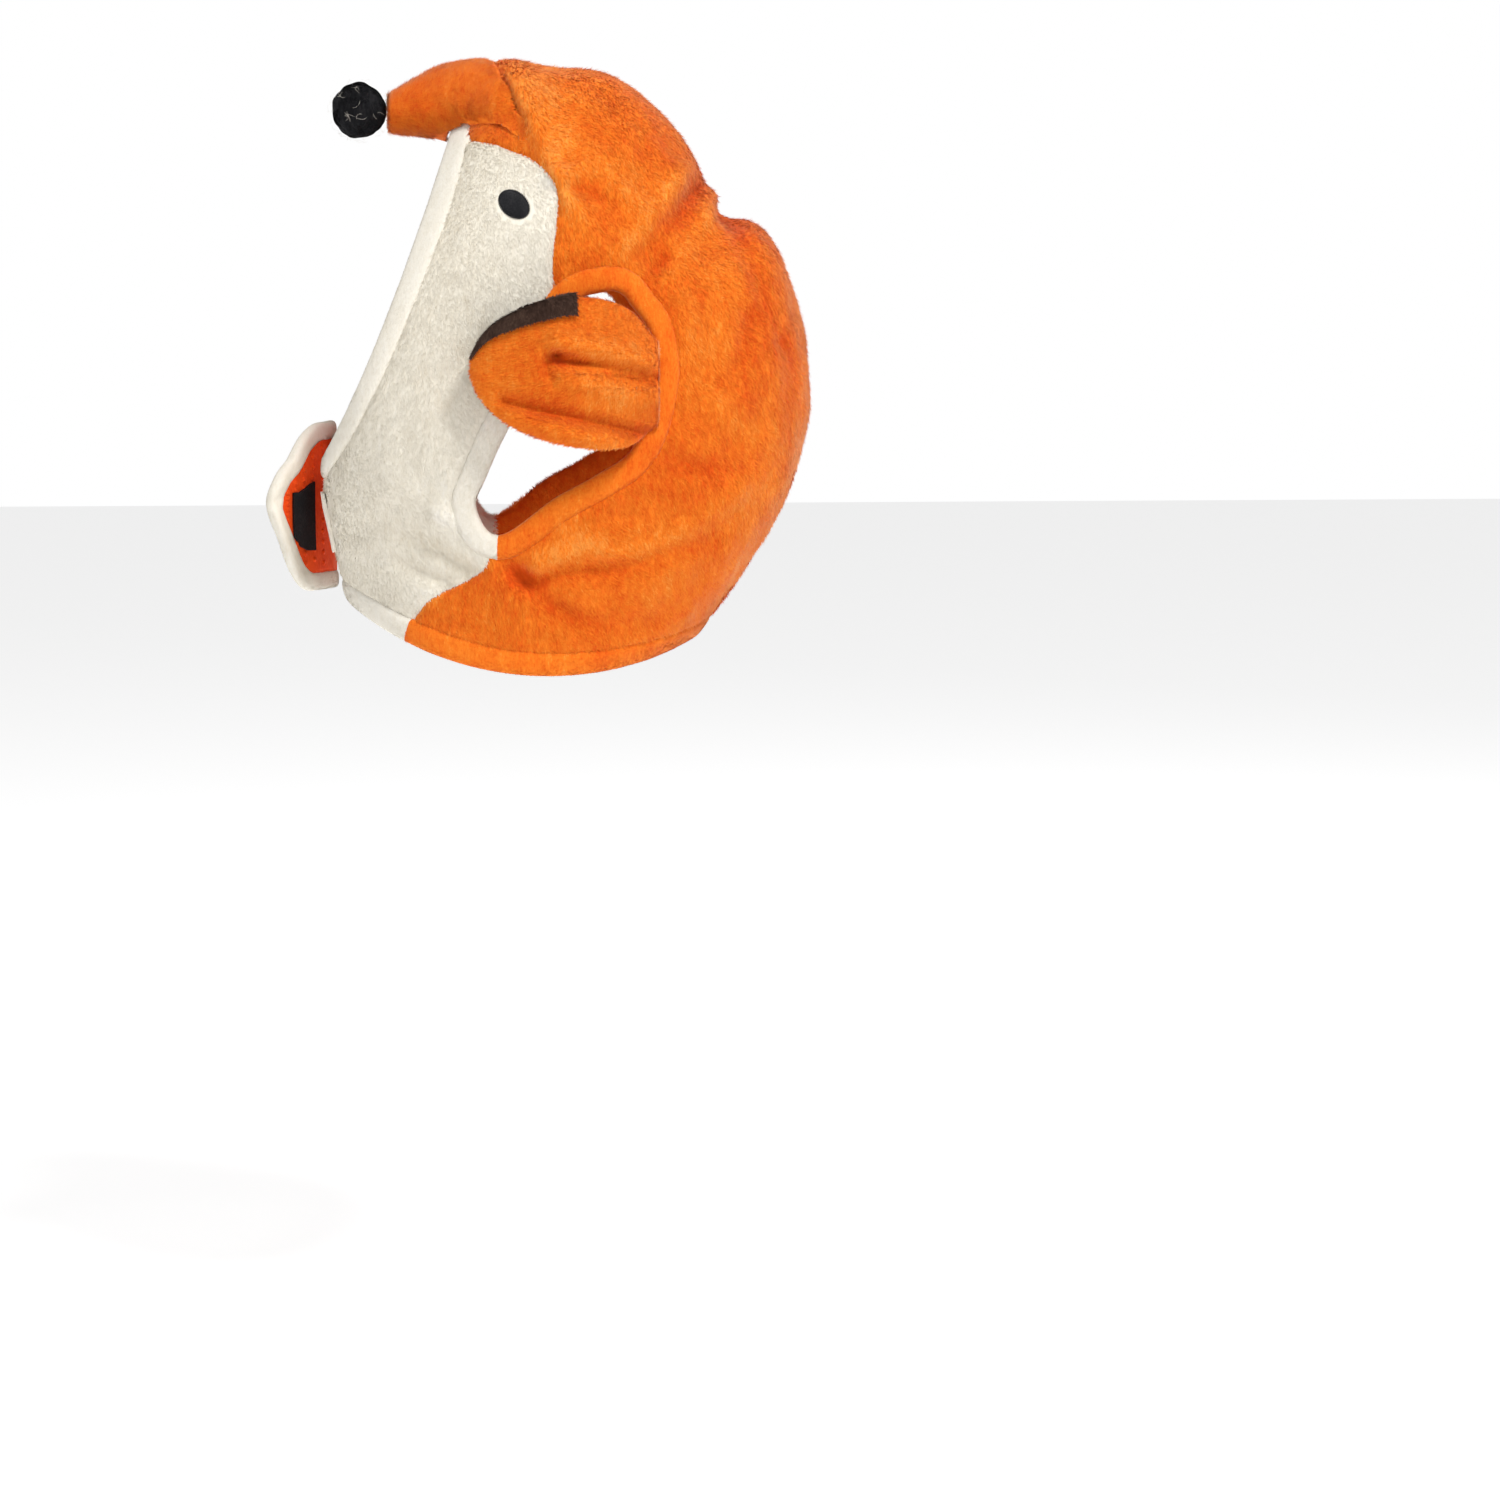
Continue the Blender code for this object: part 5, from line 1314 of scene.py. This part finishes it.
inset = FLAP_HEM_WIDTH / 2 - 1.0
body, face = flap_slab(inset, LINING + SEAM_GAP, LINING + SEAM_GAP + PLUSH, 0.4)
flap = piece("flap_plush", body, cream, "cream_plush", "chin_flap")
nap = pile("flap_nap", *face, 18000, cream_nap, "cream_plush", seed=103)
body, _ = flap_slab(inset, 0.0, LINING, 0.0)
flap_back = piece("flap_lining", body, red, "orange_lining", "chin_flap_lining")
spots = []
for row, u in enumerate(np.arange(FLAP_START + 0.08, 0.80, DOT_STEP * 0.866 / 27)):
    for v in np.arange(0.17, 0.86, DOT_STEP / 74):
        spots.append((u, v + (row % 2) * DOT_STEP / 148))
spots = np.array(spots)
edge = flap_edge()
keep = inside(spots * (1, 3), (edge + (0.0, 0.0)) * (1, 3)) & (clear_of(spots * (1, 3), edge * (1, 3)) > 0.2)
spots = spots[keep]
ways = -flap_normal(spots[:, 0], spots[:, 1])
bumps = piece("flap_lining_dots", dots(flap_at(spots), ways), red, "orange_lining", shut=False)

for node, look, slot in (("hook_patch", hooks, "hook_tape"), ("loop_patch", loops, "loop_tape")):
    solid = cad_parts[node]
    solid.data.materials.clear()
    solid.data.materials.append(look)

# Floor, light and camera

FLOOR, REACH = -0.555, 6.0
mesh = bpy.data.meshes.new("floor")
corners = [(x * REACH, y * REACH, FLOOR) for x, y in ((-1, -1), (1, -1), (1, 1), (-1, 1))]
mesh.from_pydata(corners, [], [(0, 1, 2, 3)])
ground = bpy.data.objects.new("floor", mesh)
bpy.context.scene.collection.objects.link(ground)
mesh.materials.append(bpy.data.materials.new("pale floor"))
mesh.materials[0].use_nodes = True
paint = mesh.materials[0].node_tree.nodes["Principled BSDF"]
paint.inputs["Base Color"].default_value = (0.93, 0.93, 0.93, 1)
paint.inputs["Roughness"].default_value = 0.9
paint.inputs["Emission Color"].default_value = (1, 1, 1, 1)
paint.inputs["Emission Strength"].default_value = 0.45

world = bpy.data.worlds.new("studio")
bpy.context.scene.world = world
world.use_nodes = True
back = world.node_tree.nodes["Background"]
back.inputs["Color"].default_value = (1, 1, 1, 1)
back.inputs["Strength"].default_value = 0.43
bright = world.node_tree.nodes.new("ShaderNodeBackground")
bright.inputs["Color"].default_value = (1, 1, 1, 1)
bright.inputs["Strength"].default_value = 1.0
seen = world.node_tree.nodes.new("ShaderNodeLightPath")
blend = world.node_tree.nodes.new("ShaderNodeMixShader")
world.node_tree.links.new(seen.outputs["Is Camera Ray"], blend.inputs["Fac"])
world.node_tree.links.new(back.outputs["Background"], blend.inputs[1])
world.node_tree.links.new(bright.outputs["Background"], blend.inputs[2])
world.node_tree.links.new(blend.outputs["Shader"], world.node_tree.nodes["World Output"].inputs["Surface"])


def lamp(name, power, size, place, aim):
    light = bpy.data.lights.new(name, "AREA")
    light.energy = power
    light.shape = "DISK"
    light.size = size
    made = bpy.data.objects.new(name, light)
    bpy.context.scene.collection.objects.link(made)
    made.location = place
    made.rotation_euler = (Vector(aim) - Vector(place)).to_track_quat("-Z", "Y").to_euler()


lamp("key", 23.0, 0.4, (1.0, 0.6, 1.2), (0, 0, -0.1))
lamp("fill", 4.3, 1.2, (1.3, -1.3, 0.5), (0, 0, -0.1))
lamp("rim", 6.0, 0.8, (-1.2, 0.8, 1.0), (0, 0, -0.1))

AZIMUTH, ELEVATION = math.radians(85.14), math.radians(7.4)
TARGET = Vector((0, 0.0637, -0.2838))
view = bpy.data.cameras.new("camera")
view.angle = 2 * math.atan(0.3232 / 1.6)
camera = bpy.data.objects.new("camera", view)
bpy.context.scene.collection.objects.link(camera)
way = Vector(
    (
        math.sin(AZIMUTH) * math.cos(ELEVATION),
        -math.cos(AZIMUTH) * math.cos(ELEVATION),
        math.sin(ELEVATION),
    )
)
camera.location = TARGET + way * 1.6
camera.rotation_euler = (-way).to_track_quat("-Z", "Y").to_euler()
bpy.context.scene.camera = camera
bpy.context.scene.view_settings.view_transform = "Standard"
